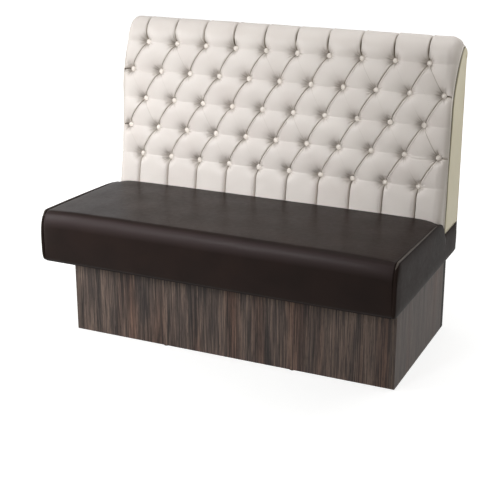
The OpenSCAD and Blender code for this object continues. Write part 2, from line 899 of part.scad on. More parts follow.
// Outlines of the rails that run between the cheeks, grown by a gap for the ribs' notches
module lower_front_rail_outline(gap = 0) {
    z = deck_z + low_rail_h + gap;
    y = frame_front_y(deck_z, fit);
    polygon([[y - gap, deck_z - gap], [frame_front_y(z, fit) - gap, z],
        [frame_front_y(z, fit) + back_rail_d + gap, z],
        [frame_front_y(z, fit) + back_rail_d + gap, deck_z - gap]]);
}

module lower_rear_rail_outline(gap = 0) {
    translate([frame_rear_y - back_rail_d - gap, deck_z - gap])
        square([back_rail_d + 2 * gap, low_rail_h + 2 * gap]);
}

module middle_rail_outline(gap = 0) {
    z0 = mid_rail_z - gap;
    z1 = mid_rail_z + mid_rail_h + gap;
    polygon([[frame_front_y(z0, fit) - gap, z0], [frame_front_y(z1, fit) - gap, z1],
        [frame_front_y(z1, fit) + back_rail_d + gap, z1],
        [frame_front_y(z0, fit) + back_rail_d + gap, z0]]);
}

module top_board_outline(gap = 0) {
    z = top_board_z - gap;
    polygon(concat(
        [[frame_front_y(z, fit) - gap, z], base_at(fit - board_top_drop, frame_in + fit),
            base_at(fit - board_top_drop, board_in)],
        roll_frame_points,
        [[frame_rear_y, frame_edge_z], [frame_rear_y, z]]));
}

module frame_outline() {
    polygon(concat(
        [[frame_front_y(deck_z), deck_z], base_at(fit - board_top_drop, frame_in),
            base_at(fit - board_top_drop, board_in)],
        roll_frame_points,
        [[frame_rear_y, frame_edge_z], [frame_rear_y, deck_z]]));
}

// Screws from the cheeks into the ends of the rails
module back_screw_set(grow = 0) {
    front_y = frame_front_y(deck_z + low_rail_h, fit) + back_rail_d / 2;
    rear_y = frame_rear_y - back_rail_d / 2;
    middle_z = mid_rail_z + mid_rail_h / 2;
    top_z = (top_board_z + roll_top_z - board_in) / 2;
    places = [
        [front_y, deck_z + low_rail_h * frame_screw_shares[0]],
        [front_y, deck_z + low_rail_h * frame_screw_shares[1]],
        [rear_y, deck_z + low_rail_h * frame_screw_shares[0]],
        [rear_y, deck_z + low_rail_h * frame_screw_shares[1]],
        [frame_front_y(middle_z, fit) + back_rail_d / 2, middle_z],
        [mix(roll_top_y, frame_rear_y, frame_screw_shares[0]), top_z]];
    for (p = places)
        both_ends()
            translate([wood_half - frame_screw_l, p[0], p[1]])
                rotate([0, 90, 0])
                    screw(frame_screw_l - screw_head_t, grow);
}

module cheek(side) {
    color("#b08d62")
        mirror([side < 0 ? 1 : 0, 0, 0])
            difference() {
                along_x(cheek_inner_x, wood_half)
                    frame_outline();
                back_screw_set(fit);
            }
}

module back_left_cheek() {
    cheek(-1);
}

module back_right_cheek() {
    cheek(1);
}

module rib(side) {
    x0 = side * rib_x - cheek_t / 2;
    color("#b08d62")
        difference() {
            along_x(x0, x0 + cheek_t)
                frame_outline();
            along_x(x0 - over, x0 + cheek_t + over) {
                lower_front_rail_outline(fit);
                lower_rear_rail_outline(fit);
                middle_rail_outline(fit);
                top_board_outline(fit);
                translate([0, cover_edge_z - fit])
                    square([rear_y, roll_top_z]);
            }
        }
}

module back_left_rib() {
    rib(-1);
}

module back_right_rib() {
    rib(1);
}

module back_rail() {
    color("#d8b98a")
        difference() {
            along_x(-cheek_inner_x, cheek_inner_x)
                children();
            back_screw_set(fit);
            coach_screw_set(fit);
        }
}

module back_lower_front_rail() {
    back_rail()
        lower_front_rail_outline();
}

module back_lower_rear_rail() {
    back_rail()
        lower_rear_rail_outline();
}

module back_middle_rail() {
    back_rail()
        middle_rail_outline();
}

module back_top_board() {
    back_rail()
        top_board_outline();
}

module back_frame_screws() {
    color("#b8b09a")
        back_screw_set();
}

// Coach screws hold the lower rear rail down on the seat's rear rail
module back_coach_screws() {
    color("#b8b8b8") {
        coach_screw_set();
        for (s = fixing_shares)
            translate([end_rail_x * s, coach_y(), deck_z + low_rail_h + washer_t])
                cylinder(d = coach_head_d, h = coach_head_t, $fn = 6);
    }
}

module back_washers() {
    color("#c8c8c8")
        for (s = fixing_shares)
            translate([end_rail_x * s, coach_y(), deck_z + low_rail_h])
                difference() {
                    cylinder(d = washer_d, h = washer_t);
                    translate([0, 0, -over])
                        cylinder(d = coach_d + 2 * fit, h = washer_t + 2 * over);
                }
}

// Upholstery of the back

module back_tuft_board() {
    color("#d9c39a")
        difference() {
            along_x(-wood_half, wood_half)
                polygon([
                    [base_y(deck_z) + board_in / cos(back_lean), deck_z],
                    base_at(-board_top_drop, board_in),
                    base_at(-board_top_drop, frame_in),
                    [frame_front_y(deck_z), deck_z]]);
            on_each_button()
                translate([0, 0, -frame_in - over])
                    cylinder(d = twine_hole_d, h = tuft_board_t + 2 * over);
        }
}

module back_foam() {
    half = field_half + twine_hole_d;
    low_z = deck_z + fit;
    outer = [for (i = [0 : roll_strips])
        base_at(mix(top_row_t, roll_l, i / roll_strips), slab_in)];
    inner = [for (s = roll_step_shares) base_at(s * roll_l, frame_inset(s * roll_l) - fit)];
    color("#e6d9a8")
        difference() {
            along_x(-half, half)
                polygon(concat(
                    [[base_y(low_z) + (board_in - fit) / cos(back_lean), low_z],
                        [base_y(low_z) + slab_in / cos(back_lean), low_z]],
                    outer,
                    [for (i = [len(inner) - 1 : -1 : 0]) inner[i]]));
            on_each_button()
                translate([0, 0, -board_in - over])
                    cylinder(d = twine_hole_d, h = slab_t + 2 * over);
        }
}

// Puffs: p counts half pitches along the bench, q counts row steps above the lowest row
puff_power = 0.65;
pleat_share = 0.5;
crease_l_share = 0.45;
function fold(x) = pow(abs(sin(180 * x)), puff_power);
function channel(p, floor_share) = mix(floor_share, 1, pow(abs(cos(90 * p)), puff_power));
function pleat_floor(q) =
    pleat_share * min(1, max(-q, q - (button_rows - 1)) / crease_l_share);
function puff(p, q) =
    q < 0 || q > button_rows - 1 ? channel(p, pleat_floor(q))
    : (fold((p + q - 1) / 2) + fold((p - q - 1) / 2)) / 2;
// At the ends only the pleats of the outermost buttons run on to the seam
function end_puff(q) =
    q < 0 || q > button_rows - 1 ? 1 : mix(pleat_share, 1, pow(abs(cos(90 * q)), puff_power));

// Rows of the buttoned cover: [count of row steps above the lowest row, length along the base
// line, length along the seam line, height of a full puff, stagger of the nodes]
row_parts = 4;
roll_height_shares = [1, 1, 0.86, 0.44, 0.075];
roll_strips = len(roll_height_shares);
low_t = base_t(deck_z + fit);
low_row_t = base_t(low_row_z);
top_row_t = base_t(top_row_z);
seam_top_t = seam_t(top_row_z);
tuft_rows = concat(
    [for (i = [0 : low_strips - 1])
        let (t = mix(low_t, low_row_t, i / low_strips))
        [(t - low_row_t) / row_step, t, seam_t(base_at(t)[1]), i == 0 ? tuft_foot_h : tuft_h, 0]],
    [for (i = [0 : (button_rows - 1) * row_parts])
        let (z = low_row_z + i * row_step / row_parts)
        [i / row_parts, base_t(z), seam_t(z), tuft_h, i % 2]],
    [for (i = [1 : roll_strips])
        let (t = mix(top_row_t, roll_l, i / roll_strips))
        [button_rows - 1 + (t - top_row_t) / row_step, t, mix(seam_top_t, seam_l, i / roll_strips),
            tuft_h * roll_height_shares[i - 1], 0]]);

// Nodes past the button field, as shares of the way to the end seam, and how full they are
end_shares = [1, 0.64];
end_full_shares = [0, 0.78];
pitch_nodes = 4;
field_nodes = pitch_nodes * (button_count - 1);
stagger_share = 0.5;
seam_lip = 1.5;

function field_x(row) =
    row[4] == 0 ? [for (i = [0 : field_nodes]) -field_half + i * button_pitch / pitch_nodes]
    : [for (i = [0 : field_nodes - 1]) -field_half + (i + stagger_share) * button_pitch / pitch_nodes];
function field_node(x, row) =
    let (p = (x + field_half) / button_pitch * 2)
    let (flat_row = row[3] <= tuft_foot_h)
    let (h = flat_row ? row[3] : row[3] * puff(p, row[0]))
    let (place = base_at(row[1], -h))
    [x, [x, place[0], place[1]]];
function end_node(side, i, row) =
    let (x = side * mix(field_half, half_l, end_shares[i]))
    let (flat_row = row[3] <= tuft_foot_h)
    let (h = flat_row ? row[3] : row[3] * end_puff(row[0]))
    let (seam = seam_at(row[2], -seam_lip))
    let (place = mix(seam, base_at(row[1], -h), end_full_shares[i]))
    [x, [x, place[0], place[1]]];

module back_tufted_cover() {
    inner_x_end = field_half + button_d / 2 - fit;
    front = [for (row = tuft_rows) concat(
        [end_node(-1, 0, row), end_node(-1, 1, row)],
        [for (x = field_x(row)) field_node(x, row)],
        [end_node(1, 1, row), end_node(1, 0, row)])];
    rear = [for (row = tuft_rows)
        let (seam = seam_at(row[2]))
        let (base = base_at(row[1], tuft_cover_t))
        [for (x = [-half_l, -inner_x_end, inner_x_end, half_l])
            let (place = abs(x) == half_l ? seam : base)
            [x, [x, place[0], place[1]]]]];
    color("#d3ccc2")
        soft_form(front, rear);
}

// Covered button: a cone below that follows the sides of its dimple, a rim and a domed top
dome_step_share = 0.57;
dome_waist_share = 0.72;
dome_top_share = 0.22;
module button() {
    steep = tuft_h * fold(1 / pitch_nodes) / (button_pitch / pitch_nodes);
    tip_z = 2 * fit + button_tip_d / 2 * steep;
    rim_z = tip_z + (button_d - button_tip_d) / 2 * steep;
    waist_h = button_dome * dome_step_share;
    translate([0, 0, tip_z])
        cylinder(d1 = button_tip_d, d2 = button_d, h = rim_z - tip_z);
    translate([0, 0, rim_z - button_join])
        cylinder(d = button_d, h = button_rim + button_join);
    translate([0, 0, rim_z + button_rim - button_join])
        cylinder(d1 = button_d, d2 = button_d * dome_waist_share, h = waist_h + button_join);
    translate([0, 0, rim_z + button_rim + waist_h - button_join])
        cylinder(d1 = button_d * dome_waist_share, d2 = button_d * dome_top_share,
            h = button_dome - waist_h + button_join);
}

module back_buttons() {
    color("#d9d2c8")
        on_each_button()
            button();
}

module back_button_twines() {
    color("#e8e4da")
        on_each_button()
            translate([0, 0, -frame_in - anchor_t])
                cylinder(d = twine_d, h = frame_in + anchor_t - slab_in);
}

module back_button_anchors() {
    color("#a8a8a8")
        on_each_button()
            translate([0, 0, -frame_in - anchor_t])
                difference() {
                    cylinder(d = anchor_d, h = anchor_t);
                    translate([0, 0, -over])
                        cylinder(d = twine_d + 2 * fit, h = anchor_t + 2 * over);
                }
}

// Points of the end seam's line from the deck to its rear end, moved in by an inset
seam_steps = 16;
function seam_points(inset) =
    let (low = deck_z + fit)
    concat([[seam_at(seam_t(low), inset)[0], low]],
        [for (i = [0 : seam_steps]) seam_at(seam_l * i / seam_steps, inset)]);

module back_end_cover(side) {
    color("#b3ab98")
        mirror([side < 0 ? 1 : 0, 0, 0])
            along_x(wood_half + fit, half_l)
                polygon(concat(seam_points(seam_groove),
                    [[wood_rear_y, cover_edge_z], [wood_rear_y, deck_z + fit]]));
}

module back_left_cover() {
    back_end_cover(-1);
}

module back_right_cover() {
    back_end_cover(1);
}

// Welt that lies over the groove of the end seam
module back_welt(side) {
    outer = seam_points(-seam_lip);
    inner = seam_points(-seam_lip + welt_w);
    count = len(outer);
    color("#cfc7ba")
        mirror([side < 0 ? 1 : 0, 0, 0])
            along_x(half_l + fit, half_l + welt_h)
                polygon(concat(outer, [for (i = [count - 1 : -1 : 0]) inner[i]]));
}

module back_left_welt() {
    back_welt(-1);
}

module back_right_welt() {
    back_welt(1);
}

module back_rear_panel() {
    color("#a98d63")
        block([-wood_half, frame_rear_y, deck_z + fit],
            [wood_half, wood_rear_y, frame_edge_z - fit]);
}

module back_rear_cover() {
    color("#bdb5a6")
        block([-half_l, wood_rear_y + fit, deck_z + fit],
            [half_l, rear_y, cover_edge_z - rear_cover_t]);
}

plinth_glides();
plinth_front_panel();
plinth_left_panel();
plinth_right_panel();
plinth_rear_panel();
plinth_partition();
plinth_edge_bands();
plinth_front_batten();
plinth_rear_batten();
plinth_left_batten();
plinth_right_batten();
plinth_corner_blocks();
plinth_dowels();
plinth_batten_screws();
seat_fixing_screws();
seat_front_rail();
seat_middle_rail();
seat_rear_rail();
seat_left_rail();
seat_right_rail();
seat_front_left_cross_rail();
seat_front_right_cross_rail();
seat_rear_left_cross_rail();
seat_rear_right_cross_rail();
seat_corner_blocks();
seat_frame_screws();
seat_board();
seat_foam();
seat_cover();
seat_left_cover();
seat_right_cover();
seat_left_welt();
seat_right_welt();
seat_rear_cover();
seat_dust_cloth();
back_left_cheek();
back_right_cheek();
back_left_rib();
back_right_rib();
back_lower_front_rail();
back_lower_rear_rail();
back_middle_rail();
back_top_board();
back_frame_screws();
back_coach_screws();
back_washers();
back_tuft_board();
back_foam();
back_tufted_cover();
back_buttons();
back_button_twines();
back_button_anchors();
back_left_cover();
back_right_cover();
back_left_welt();
back_right_welt();
back_rear_panel();
back_rear_cover();
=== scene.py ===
"""Dresses the upholstered banquette bench: soft covers, seams, buttons, finishes, light and camera.

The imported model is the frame. All lengths are in metres, in the model's own frame:
X runs along the bench, Y to its rear and Z up from the floor.
"""
import logging
import math
from dataclasses import astuple, dataclass, field
from enum import Enum

import bmesh
import bpy
import numpy as np
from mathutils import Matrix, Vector


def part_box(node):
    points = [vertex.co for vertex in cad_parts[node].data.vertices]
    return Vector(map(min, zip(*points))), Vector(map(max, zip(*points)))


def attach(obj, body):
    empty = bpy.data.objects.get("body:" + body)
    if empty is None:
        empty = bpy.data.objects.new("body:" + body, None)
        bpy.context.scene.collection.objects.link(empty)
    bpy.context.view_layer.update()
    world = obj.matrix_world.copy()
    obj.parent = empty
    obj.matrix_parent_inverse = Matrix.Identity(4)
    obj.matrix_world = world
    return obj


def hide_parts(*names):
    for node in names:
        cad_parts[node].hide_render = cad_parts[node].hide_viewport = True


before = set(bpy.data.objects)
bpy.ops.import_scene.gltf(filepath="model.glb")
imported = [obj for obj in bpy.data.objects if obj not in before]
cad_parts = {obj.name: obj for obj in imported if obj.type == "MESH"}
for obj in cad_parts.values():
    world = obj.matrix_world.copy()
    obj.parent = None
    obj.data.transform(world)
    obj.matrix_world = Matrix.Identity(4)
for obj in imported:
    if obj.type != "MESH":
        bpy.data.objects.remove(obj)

log = logging.getLogger("bench")
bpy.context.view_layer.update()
BODY = "root"
SIDES = {-1: "left", 1: "right"}
MM = 1000.0
GAP = 0.0003  # between pieces that lie against each other

Tree = bpy.types.NodeTree
Socket = bpy.types.NodeSocket
Piece = bpy.types.Object
Faces = list[tuple[int, ...]]
Place = tuple[float, float, float]


def corners(node: str) -> tuple[Place, Place]:
    """Gives the lowest and the highest corner of a node of the frame, to the micrometre.

    Args:
        node: the node's name.

    Returns:
        The two corners.
    """
    low, high = (tuple(round(float(c), 6) for c in corner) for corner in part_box(node))
    return low, high


# Planes that the covers are pulled over and end at
(_, SEAT_FRONT_Y, HEM_Z), (_, REAR_Y, _) = corners("seat_right_cover")
(_, FRAME_FRONT_Y, DECK_Z), (WOOD_HALF, _, BOARD_Z) = corners("seat_board")
HALF_LENGTH, REAR_FACE_Y, _ = corners("seat_rear_cover")[1]
FRAME_Z = corners("seat_front_rail")[0][2]
CLOTH_FRONT_Y, CLOTH_REAR_Y = (corner[1] for corner in corners("seat_dust_cloth"))
# Where the plinth's front panel meets the edge bands of its end panels
PLINTH_JOINT_X = corners("plinth_front_panel")[1][0]


# ---------------------------------------------------------------- colours and nodes

def linear(hex_colour: str) -> tuple[float, float, float, float]:
    """Turns an sRGB hex colour into linear RGBA.

    Args:
        hex_colour: six hex digits, such as "cfc8bd".

    Returns:
        The linear colour with full alpha.
    """
    parts = [int(hex_colour[i:i + 2], 16) / 255 for i in (0, 2, 4)]
    rgb = [c / 12.92 if c <= 0.04045 else ((c + 0.055) / 1.055) ** 2.4 for c in parts]
    return (*rgb, 1.0)


def add_node(tree: Tree, kind: str, inputs: dict | None = None,
             stops: list[tuple[float, str]] | None = None, **settings) -> bpy.types.bpy_prop_collection:
    """Adds a node with its settings and its inputs.

    Args:
        tree: the node tree.
        kind: the node's type without the "ShaderNode" prefix, such as "TexNoise".
        inputs: input socket name or number to its value, or to the output socket that feeds it.
        stops: places and hex colours, for a colour ramp.
        **settings: properties of the node itself.

    Returns:
        The node's output sockets.
    """
    node = tree.nodes.new("ShaderNode" + kind)
    for name, value in settings.items():
        setattr(node, name, value)
    for key, value in (inputs or {}).items():
        if isinstance(value, Socket):
            tree.links.new(value, node.inputs[key])
        else:
            node.inputs[key].default_value = value
    if stops:
        ramp = node.color_ramp
        while len(ramp.elements) < len(stops):
            ramp.elements.new(0.5)
        for element, (place, colour) in zip(ramp.elements, stops):
            element.position = place
            element.color = linear(colour)
    return node.outputs


def empty_tree(owner: bpy.types.Material | bpy.types.World) -> Tree:
    """Turns on the nodes of a material or world, and clears them.

    Args:
        owner: the material or world.

    Returns:
        Its empty node tree.
    """
    owner.use_nodes = True
    owner.node_tree.nodes.clear()
    return owner.node_tree


def object_place(tree: Tree, scale: Place = (1, 1, 1)) -> Socket:
    """Gives the surface's own place in metres, times a scale for each axis.

    Args:
        tree: the node tree.
        scale: how often a pattern repeats in a metre, along X, Y and Z.

    Returns:
        The scaled place.
    """
    return add_node(tree, "Mapping", {"Scale": scale, "Vector": add_node(tree, "TexCoord")["Object"]})[0]


def stored(tree: Tree, name: str) -> bpy.types.bpy_prop_collection:
    """Reads the three parts of a vector that is stored on a mesh.

    Args:
        tree: the node tree.
        name: the attribute's name.

    Returns:
        The parts. They are 0 where the mesh has no such attribute.
    """
    vector = add_node(tree, "Attribute", attribute_name=name, attribute_type="GEOMETRY")["Vector"]
    return add_node(tree, "SeparateXYZ", {0: vector})


def seen_sharp(tree: Tree) -> Socket:
    """Tells the rays that show a background, straight or in a mirror or glass, from those that light a surface.

    Args:
        tree: the node tree.

    Returns:
        1 for camera, glossy and transmission rays, 0 for the others.
    """
    path = add_node(tree, "LightPath")
    sharp = add_node(tree, "Math", {0: path["Is Camera Ray"], 1: path["Is Glossy Ray"]}, operation="MAXIMUM")[0]
    return add_node(tree, "Math", {0: sharp, 1: path["Is Transmission Ray"]}, operation="MAXIMUM")[0]


# ---------------------------------------------------------------- finishes

@dataclass(frozen=True)
class Finish:
    """A named finish. Each kind of finish gives the inputs of its shader."""

    name: str

    def surface(self, tree: Tree) -> dict[str, object]:
        """Draws the finish.

        Args:
            tree: the node tree.

        Returns:
            The shader's inputs.
        """
        raise NotImplementedError

    def material(self) -> bpy.types.Material:
        """Builds the material, or finds it if it is there.

        Returns:
            The material.
        """
        made = bpy.data.materials.get(self.name)
        if made:
            return made
        made = bpy.data.materials.new(self.name)
        tree = empty_tree(made)
        shader = add_node(tree, "BsdfPrincipled", self.surface(tree))
        add_node(tree, "OutputMaterial", {"Surface": shader[0]})
        return made


@dataclass(frozen=True)
class Leatherette(Finish):
    """PVC-coated upholstery fabric, embossed with a pebble grain: a soft satin with broad highlights."""

    colour: str
    low_colour: str
    high_colour: str
    roughness: float = 0.46
    gloss: float = 0.5
    painted_shade_colour: str | None = None
    painted_highlight_colour: str | None = None
    pebble: float = 0.0016
    pebble_depth: float = 0.00008
    crease: float = 0.018
    crease_depth: float = 0.0003
    gather_depth: float = 0.0055

    def surface(self, tree: Tree) -> dict[str, object]:
        """Draws the dye, the painted shade of the folds, the painted highlight of an edge, the pebbles and the soft
        creases.

        Args:
            tree: the node tree.

        Returns:
            The shader's inputs.
        """
        place = object_place(tree)
        # Dye and handling vary the colour softly over a hand's width
        dye = add_node(tree, "TexNoise", {"Scale": 9.0, "Detail": 3.0, "Vector": place})["Fac"]
        colour = add_node(tree, "ValToRGB", {"Fac": dye},
                          [(0.30, self.low_colour), (0.52, self.colour), (0.78, self.high_colour)])["Color"]
        creases = add_node(tree, "TexNoise", {"Scale": 1 / self.crease, "Detail": 4.0, "Distortion": 0.8,
                                              "Vector": place})["Fac"]
        normal = add_node(tree, "Bump", {"Strength": 0.5, "Distance": self.crease_depth, "Height": creases})[0]
        # Painted shade in the folds, and the bumps of the wrinkles round the buttons
        if self.painted_shade_colour:
            gathers = self.gathers(tree)
            colour = self.folds(tree, colour, gathers)
            normal = add_node(tree, "Bump", {"Strength": 1.0, "Distance": self.gather_depth,
                                             "Height": gathers, "Normal": normal})[0]
        # Painted highlight along an edge that faces up and forwards
        if self.painted_highlight_colour:
            colour = self.paint_edge_highlight(tree, colour)
        # Pebbles of the embossed grain, drawn coarse enough to show
        cells = add_node(tree, "TexVoronoi", {"Scale": 1 / self.pebble, "Randomness": 0.9, "Vector": place},
                         feature="SMOOTH_F1")["Distance"]
        normal = add_node(tree, "Bump", {"Strength": 0.6, "Distance": self.pebble_depth,
                                         "Height": cells, "Normal": normal})[0]
        rough = add_node(tree, "MapRange", {"Value": creases, "To Min": self.roughness - 0.06,
                                            "To Max": self.roughness + 0.08})[0]
        return {"Base Color": colour, "Normal": normal, "Roughness": rough,
                "IOR": 1.5, "Specular IOR Level": self.gloss}

    def folds(self, tree: Tree, colour: Socket, gathers: Socket) -> Socket:
        """Paints shade into pleats, creases, button seats and wrinkle valleys: a painted shade.

        Args:
            tree: the node tree.
            colour: the colour of the crowns.
            gathers: height of the wrinkles.

        Returns:
            The colour with the folds.
        """
        # Painted shade: the fold share, the crease lines and the wrinkle valleys mix in the shade colour
        fold = add_node(tree, "Attribute", attribute_name="fold", attribute_type="GEOMETRY")["Fac"]
        crease = stored(tree, "crease")
        off = add_node(tree, "Math", {0: crease[0]}, operation="ABSOLUTE")[0]
        near = add_node(tree, "MapRange", {"Value": off, "From Min": 0.2, "From Max": 1.7,
                                           "To Min": 1.0, "To Max": 0.0})[0]
        line = add_node(tree, "Math", {0: near, 1: crease[1]}, operation="MULTIPLY")[0]
        deepest = add_node(tree, "Math", {0: fold, 1: line}, operation="MAXIMUM")[0]
        # Painted shade in the valleys of the wrinkles
        valley = add_node(tree, "MapRange", {"Value": gathers, "From Min": 0.0, "From Max": -0.14,
                                             "To Max": 0.42})[0]
        share = add_node(tree, "Math", {0: deepest, 1: valley}, operation="ADD", use_clamp=True)[0]
        return add_node(tree, "Mix", {0: share, 6: colour, 7: linear(self.painted_shade_colour)}, data_type="RGBA")[2]

    def paint_edge_highlight(self, tree: Tree, colour: Socket) -> Socket:
        """Paints a highlight onto the cover over the front edge, where it faces up and forwards: a painted
        highlight.

        Args:
            tree: the node tree.
            colour: the colour elsewhere.

        Returns:
            The colour with the painted highlight.
        """
        normal = add_node(tree, "SeparateXYZ", {0: add_node(tree, "TexCoord")["Normal"]})
        edge = add_node(tree, "ValToRGB", {"Fac": normal[2]},
                        [(0.04, "000000"), (0.32, "ffffff"), (0.58, "ffffff"), (0.88, "000000")])["Color"]
        front = add_node(tree, "MapRange", {"Value": normal[1], "From Min": -0.25, "From Max": -0.55})[0]
        # Painted highlight: a lighter band where the surface faces up and forwards
        share = add_node(tree, "Math", {0: edge, 1: front}, operation="MULTIPLY")[0]
        return add_node(tree, "Mix", {0: share, 6: colour, 7: linear(self.painted_highlight_colour)}, data_type="RGBA")[2]

    @staticmethod
    def gathers(tree: Tree) -> Socket:
        """Draws the fine wrinkles that run into each button.

        Args:
            tree: the node tree.

        Returns:
            Their height, below nought in the valleys and nought away from the buttons.
        """
        way = stored(tree, "button_way")
        flat = add_node(tree, "CombineXYZ", {0: way[0], 1: way[1]})[0]
        turn = add_node(tree, "VectorMath", {0: flat}, operation="NORMALIZE")["Vector"]
        spread = add_node(tree, "VectorMath", {0: turn, "Scale": 6.5}, operation="SCALE")["Vector"]
        seed = add_node(tree, "CombineXYZ", {2: stored(tree, "crease")[2]})[0]
        place = add_node(tree, "VectorMath", {0: spread, 1: seed}, operation="ADD")["Vector"]
        wave = add_node(tree, "TexNoise", {"Scale": 1.0, "Detail": 1.5, "Vector": place})["Fac"]
        rays = add_node(tree, "Math", {0: wave, 1: 0.5}, operation="SUBTRACT")[0]
        return add_node(tree, "Math", {0: rays, 1: way[2]}, operation="MULTIPLY")[0]


@dataclass(frozen=True)
class WoodgrainLaminate(Finish):
    """Melamine laminate with a printed upright wood grain: long fine streaks under a dull, ticked surface."""

    tones: tuple[str, str, str, str]
    contrast: float = 1.0
    streak: float = 0.0042
    warm: float = 0.0
    joints_at: float | None = None
    roughness: float = 0.5
    gloss: float = 0.25

    def surface(self, tree: Tree) -> dict[str, object]:
        """Draws the grain, the ticks of the pores and the joint lines.

        Args:
            tree: the node tree.

        Returns:
            The shader's inputs.
        """
        board = object_place(tree, (1 / 0.042, 1 / 0.042, 1 / 0.55))
        broad = add_node(tree, "TexNoise", {"Scale": 1.0, "Detail": 2.0, "Distortion": 0.5, "Vector": board})
        fine = object_place(tree, (1 / self.streak, 1 / self.streak, 1 / 0.15))
        streak = add_node(tree, "TexNoise", {"Scale": 1.0, "Detail": 3.0, "Roughness": 0.6, "Distortion": 0.35,
                                             "Vector": fine})["Fac"]
        ticks = object_place(tree, (1 / 0.0017, 1 / 0.0017, 1 / 0.022))
        pore = add_node(tree, "TexNoise", {"Scale": 1.0, "Detail": 1.0, "Vector": ticks})["Fac"]
        joined = add_node(tree, "Mix", {0: 0.66, 2: broad["Fac"], 3: streak}, data_type="FLOAT")[0]
        half_span = 0.16 / self.contrast
        spread = add_node(tree, "MapRange", {"Value": joined, "From Min": 0.5 - half_span,
                                             "From Max": 0.5 + half_span})[0]
        tone = add_node(tree, "ValToRGB", {"Fac": spread},
                        [(i / 3, colour) for i, colour in enumerate(self.tones)])["Color"]
        # Some boards of the print are redder than others
        boards = add_node(tree, "TexNoise", {"Scale": 0.45, "Detail": 1.0, "Vector": board})["Fac"]
        red = add_node(tree, "MapRange", {"Value": boards, "From Min": 0.48, "From Max": 0.66,
                                          "To Max": self.warm})[0]
        tone = add_node(tree, "Mix", {0: red, 6: tone, 7: (1.0, 0.72, 0.60, 1)},
                        data_type="RGBA", blend_type="MULTIPLY")[2]
        shade = add_node(tree, "MapRange", {"Value": pore, "From Min": 0.56, "From Max": 0.7,
                                            "To Min": 1.0, "To Max": 0.55})[0]
        colour = add_node(tree, "Mix", {0: 1.0, 6: tone, 7: shade}, data_type="RGBA", blend_type="MULTIPLY")[2]
        if self.joints_at is not None:
            colour = self.joint_lines(tree, colour)
        rough = add_node(tree, "MapRange", {"Value": streak, "To Min": self.roughness - 0.05,
                                            "To Max": self.roughness + 0.1})[0]
        normal = add_node(tree, "Bump", {"Strength": 0.25, "Distance": 0.0002, "Height": pore})[0]
        return {"Base Color": colour, "Normal": normal, "Roughness": rough,
                "IOR": 1.5, "Specular IOR Level": self.gloss}

    def joint_lines(self, tree: Tree, colour: Socket) -> Socket:
        """Darkens the lines where the panel meets the edge bands of the end panels.

        Args:
            tree: the node tree.
            colour: the colour without the lines.

        Returns:
            The colour with the lines.
        """
        along = add_node(tree, "SeparateXYZ", {0: object_place(tree)})[0]
        from_middle = add_node(tree, "Math", {0: along}, operation="ABSOLUTE")[0]
        off = add_node(tree, "Math", {0: from_middle, 1: self.joints_at}, operation="SUBTRACT")[0]
        gap = add_node(tree, "Math", {0: off}, operation="ABSOLUTE")[0]
        shade = add_node(tree, "MapRange", {"Value": gap, "From Min": 0.0008, "From Max": 0.0026,
                                            "To Min": 0.35})[0]
        return add_node(tree, "Mix", {0: 1.0, 6: colour, 7: shade}, data_type="RGBA", blend_type="MULTIPLY")[2]


class Grain(Enum):
    """The way that wood grain runs."""

    ALONG_X = 0
    ALONG_Y = 1
    ALONG_Z = 2


@dataclass(frozen=True)
class SawnTimber(Finish):
    """Planed pine, beech or birch plywood, raw: even grain lines and a dry, open surface."""

    light: str
    dark: str
    grain: Grain = Grain.ALONG_X
    ring: float = 0.007

    def surface(self, tree: Tree) -> dict[str, object]:
        """Draws the grain lines.

        Args:
            tree: the node tree.

        Returns:
            The shader's inputs.
        """
        scale = tuple(1 / 0.25 if i == self.grain.value else 1 / self.ring for i in range(3))
        rings = add_node(tree, "TexNoise", {"Scale": 1.0, "Detail": 4.0, "Distortion": 0.9,
                                            "Vector": object_place(tree, scale)})["Fac"]
        tone = add_node(tree, "ValToRGB", {"Fac": rings}, [(0.34, self.dark), (0.62, self.light)])["Color"]
        normal = add_node(tree, "Bump", {"Strength": 0.3, "Distance": 0.0002, "Height": rings})[0]
        return {"Base Color": tone, "Normal": normal, "Roughness": 0.72}


@dataclass(frozen=True)
class PressedChips(Finish):
    """Raw chipboard: pressed flakes in several browns, dull and slightly open."""

    tones: tuple[str, str, str]
    flake: float = 0.004

    def surface(self, tree: Tree) -> dict[str, object]:
        """Draws the flakes.

        Args:
            tree: the node tree.

        Returns:
            The shader's inputs.
        """
        flakes = add_node(tree, "TexVoronoi", {"Scale": 1 / self.flake, "Randomness": 1.0,
                                               "Vector": object_place(tree)})
        value = add_node(tree, "SeparateColor", {0: flakes["Color"]})[0]
        tone = add_node(tree, "ValToRGB", {"Fac": value}, [(i / 2, c) for i, c in enumerate(self.tones)])["Color"]
        normal = add_node(tree, "Bump", {"Strength": 0.4, "Distance": 0.0003, "Height": flakes["Distance"]})[0]
        return {"Base Color": tone, "Normal": normal, "Roughness": 0.85}


@dataclass(frozen=True)
class Mottled(Finish):
    """A plain hard material whose polish is faintly uneven: zinc-plated steel or moulded plastic."""

    colour: str
    blotch: float
    polish: tuple[float, float]
    metallic: float = 0.0

    def surface(self, tree: Tree) -> dict[str, object]:
        """Draws the blotches.

        Args:
            tree: the node tree.

        Returns:
            The shader's inputs.
        """
        blotches = add_node(tree, "TexNoise", {"Scale": 1 / self.blotch, "Detail": 2.0,
                                               "Vector": object_place(tree)})["Fac"]
        rough = add_node(tree, "MapRange", {"Value": blotches, "To Min": self.polish[0],
                                            "To Max": self.polish[1]})[0]
        return {"Base Color": linear(self.colour), "Metallic": self.metallic, "Roughness": rough}


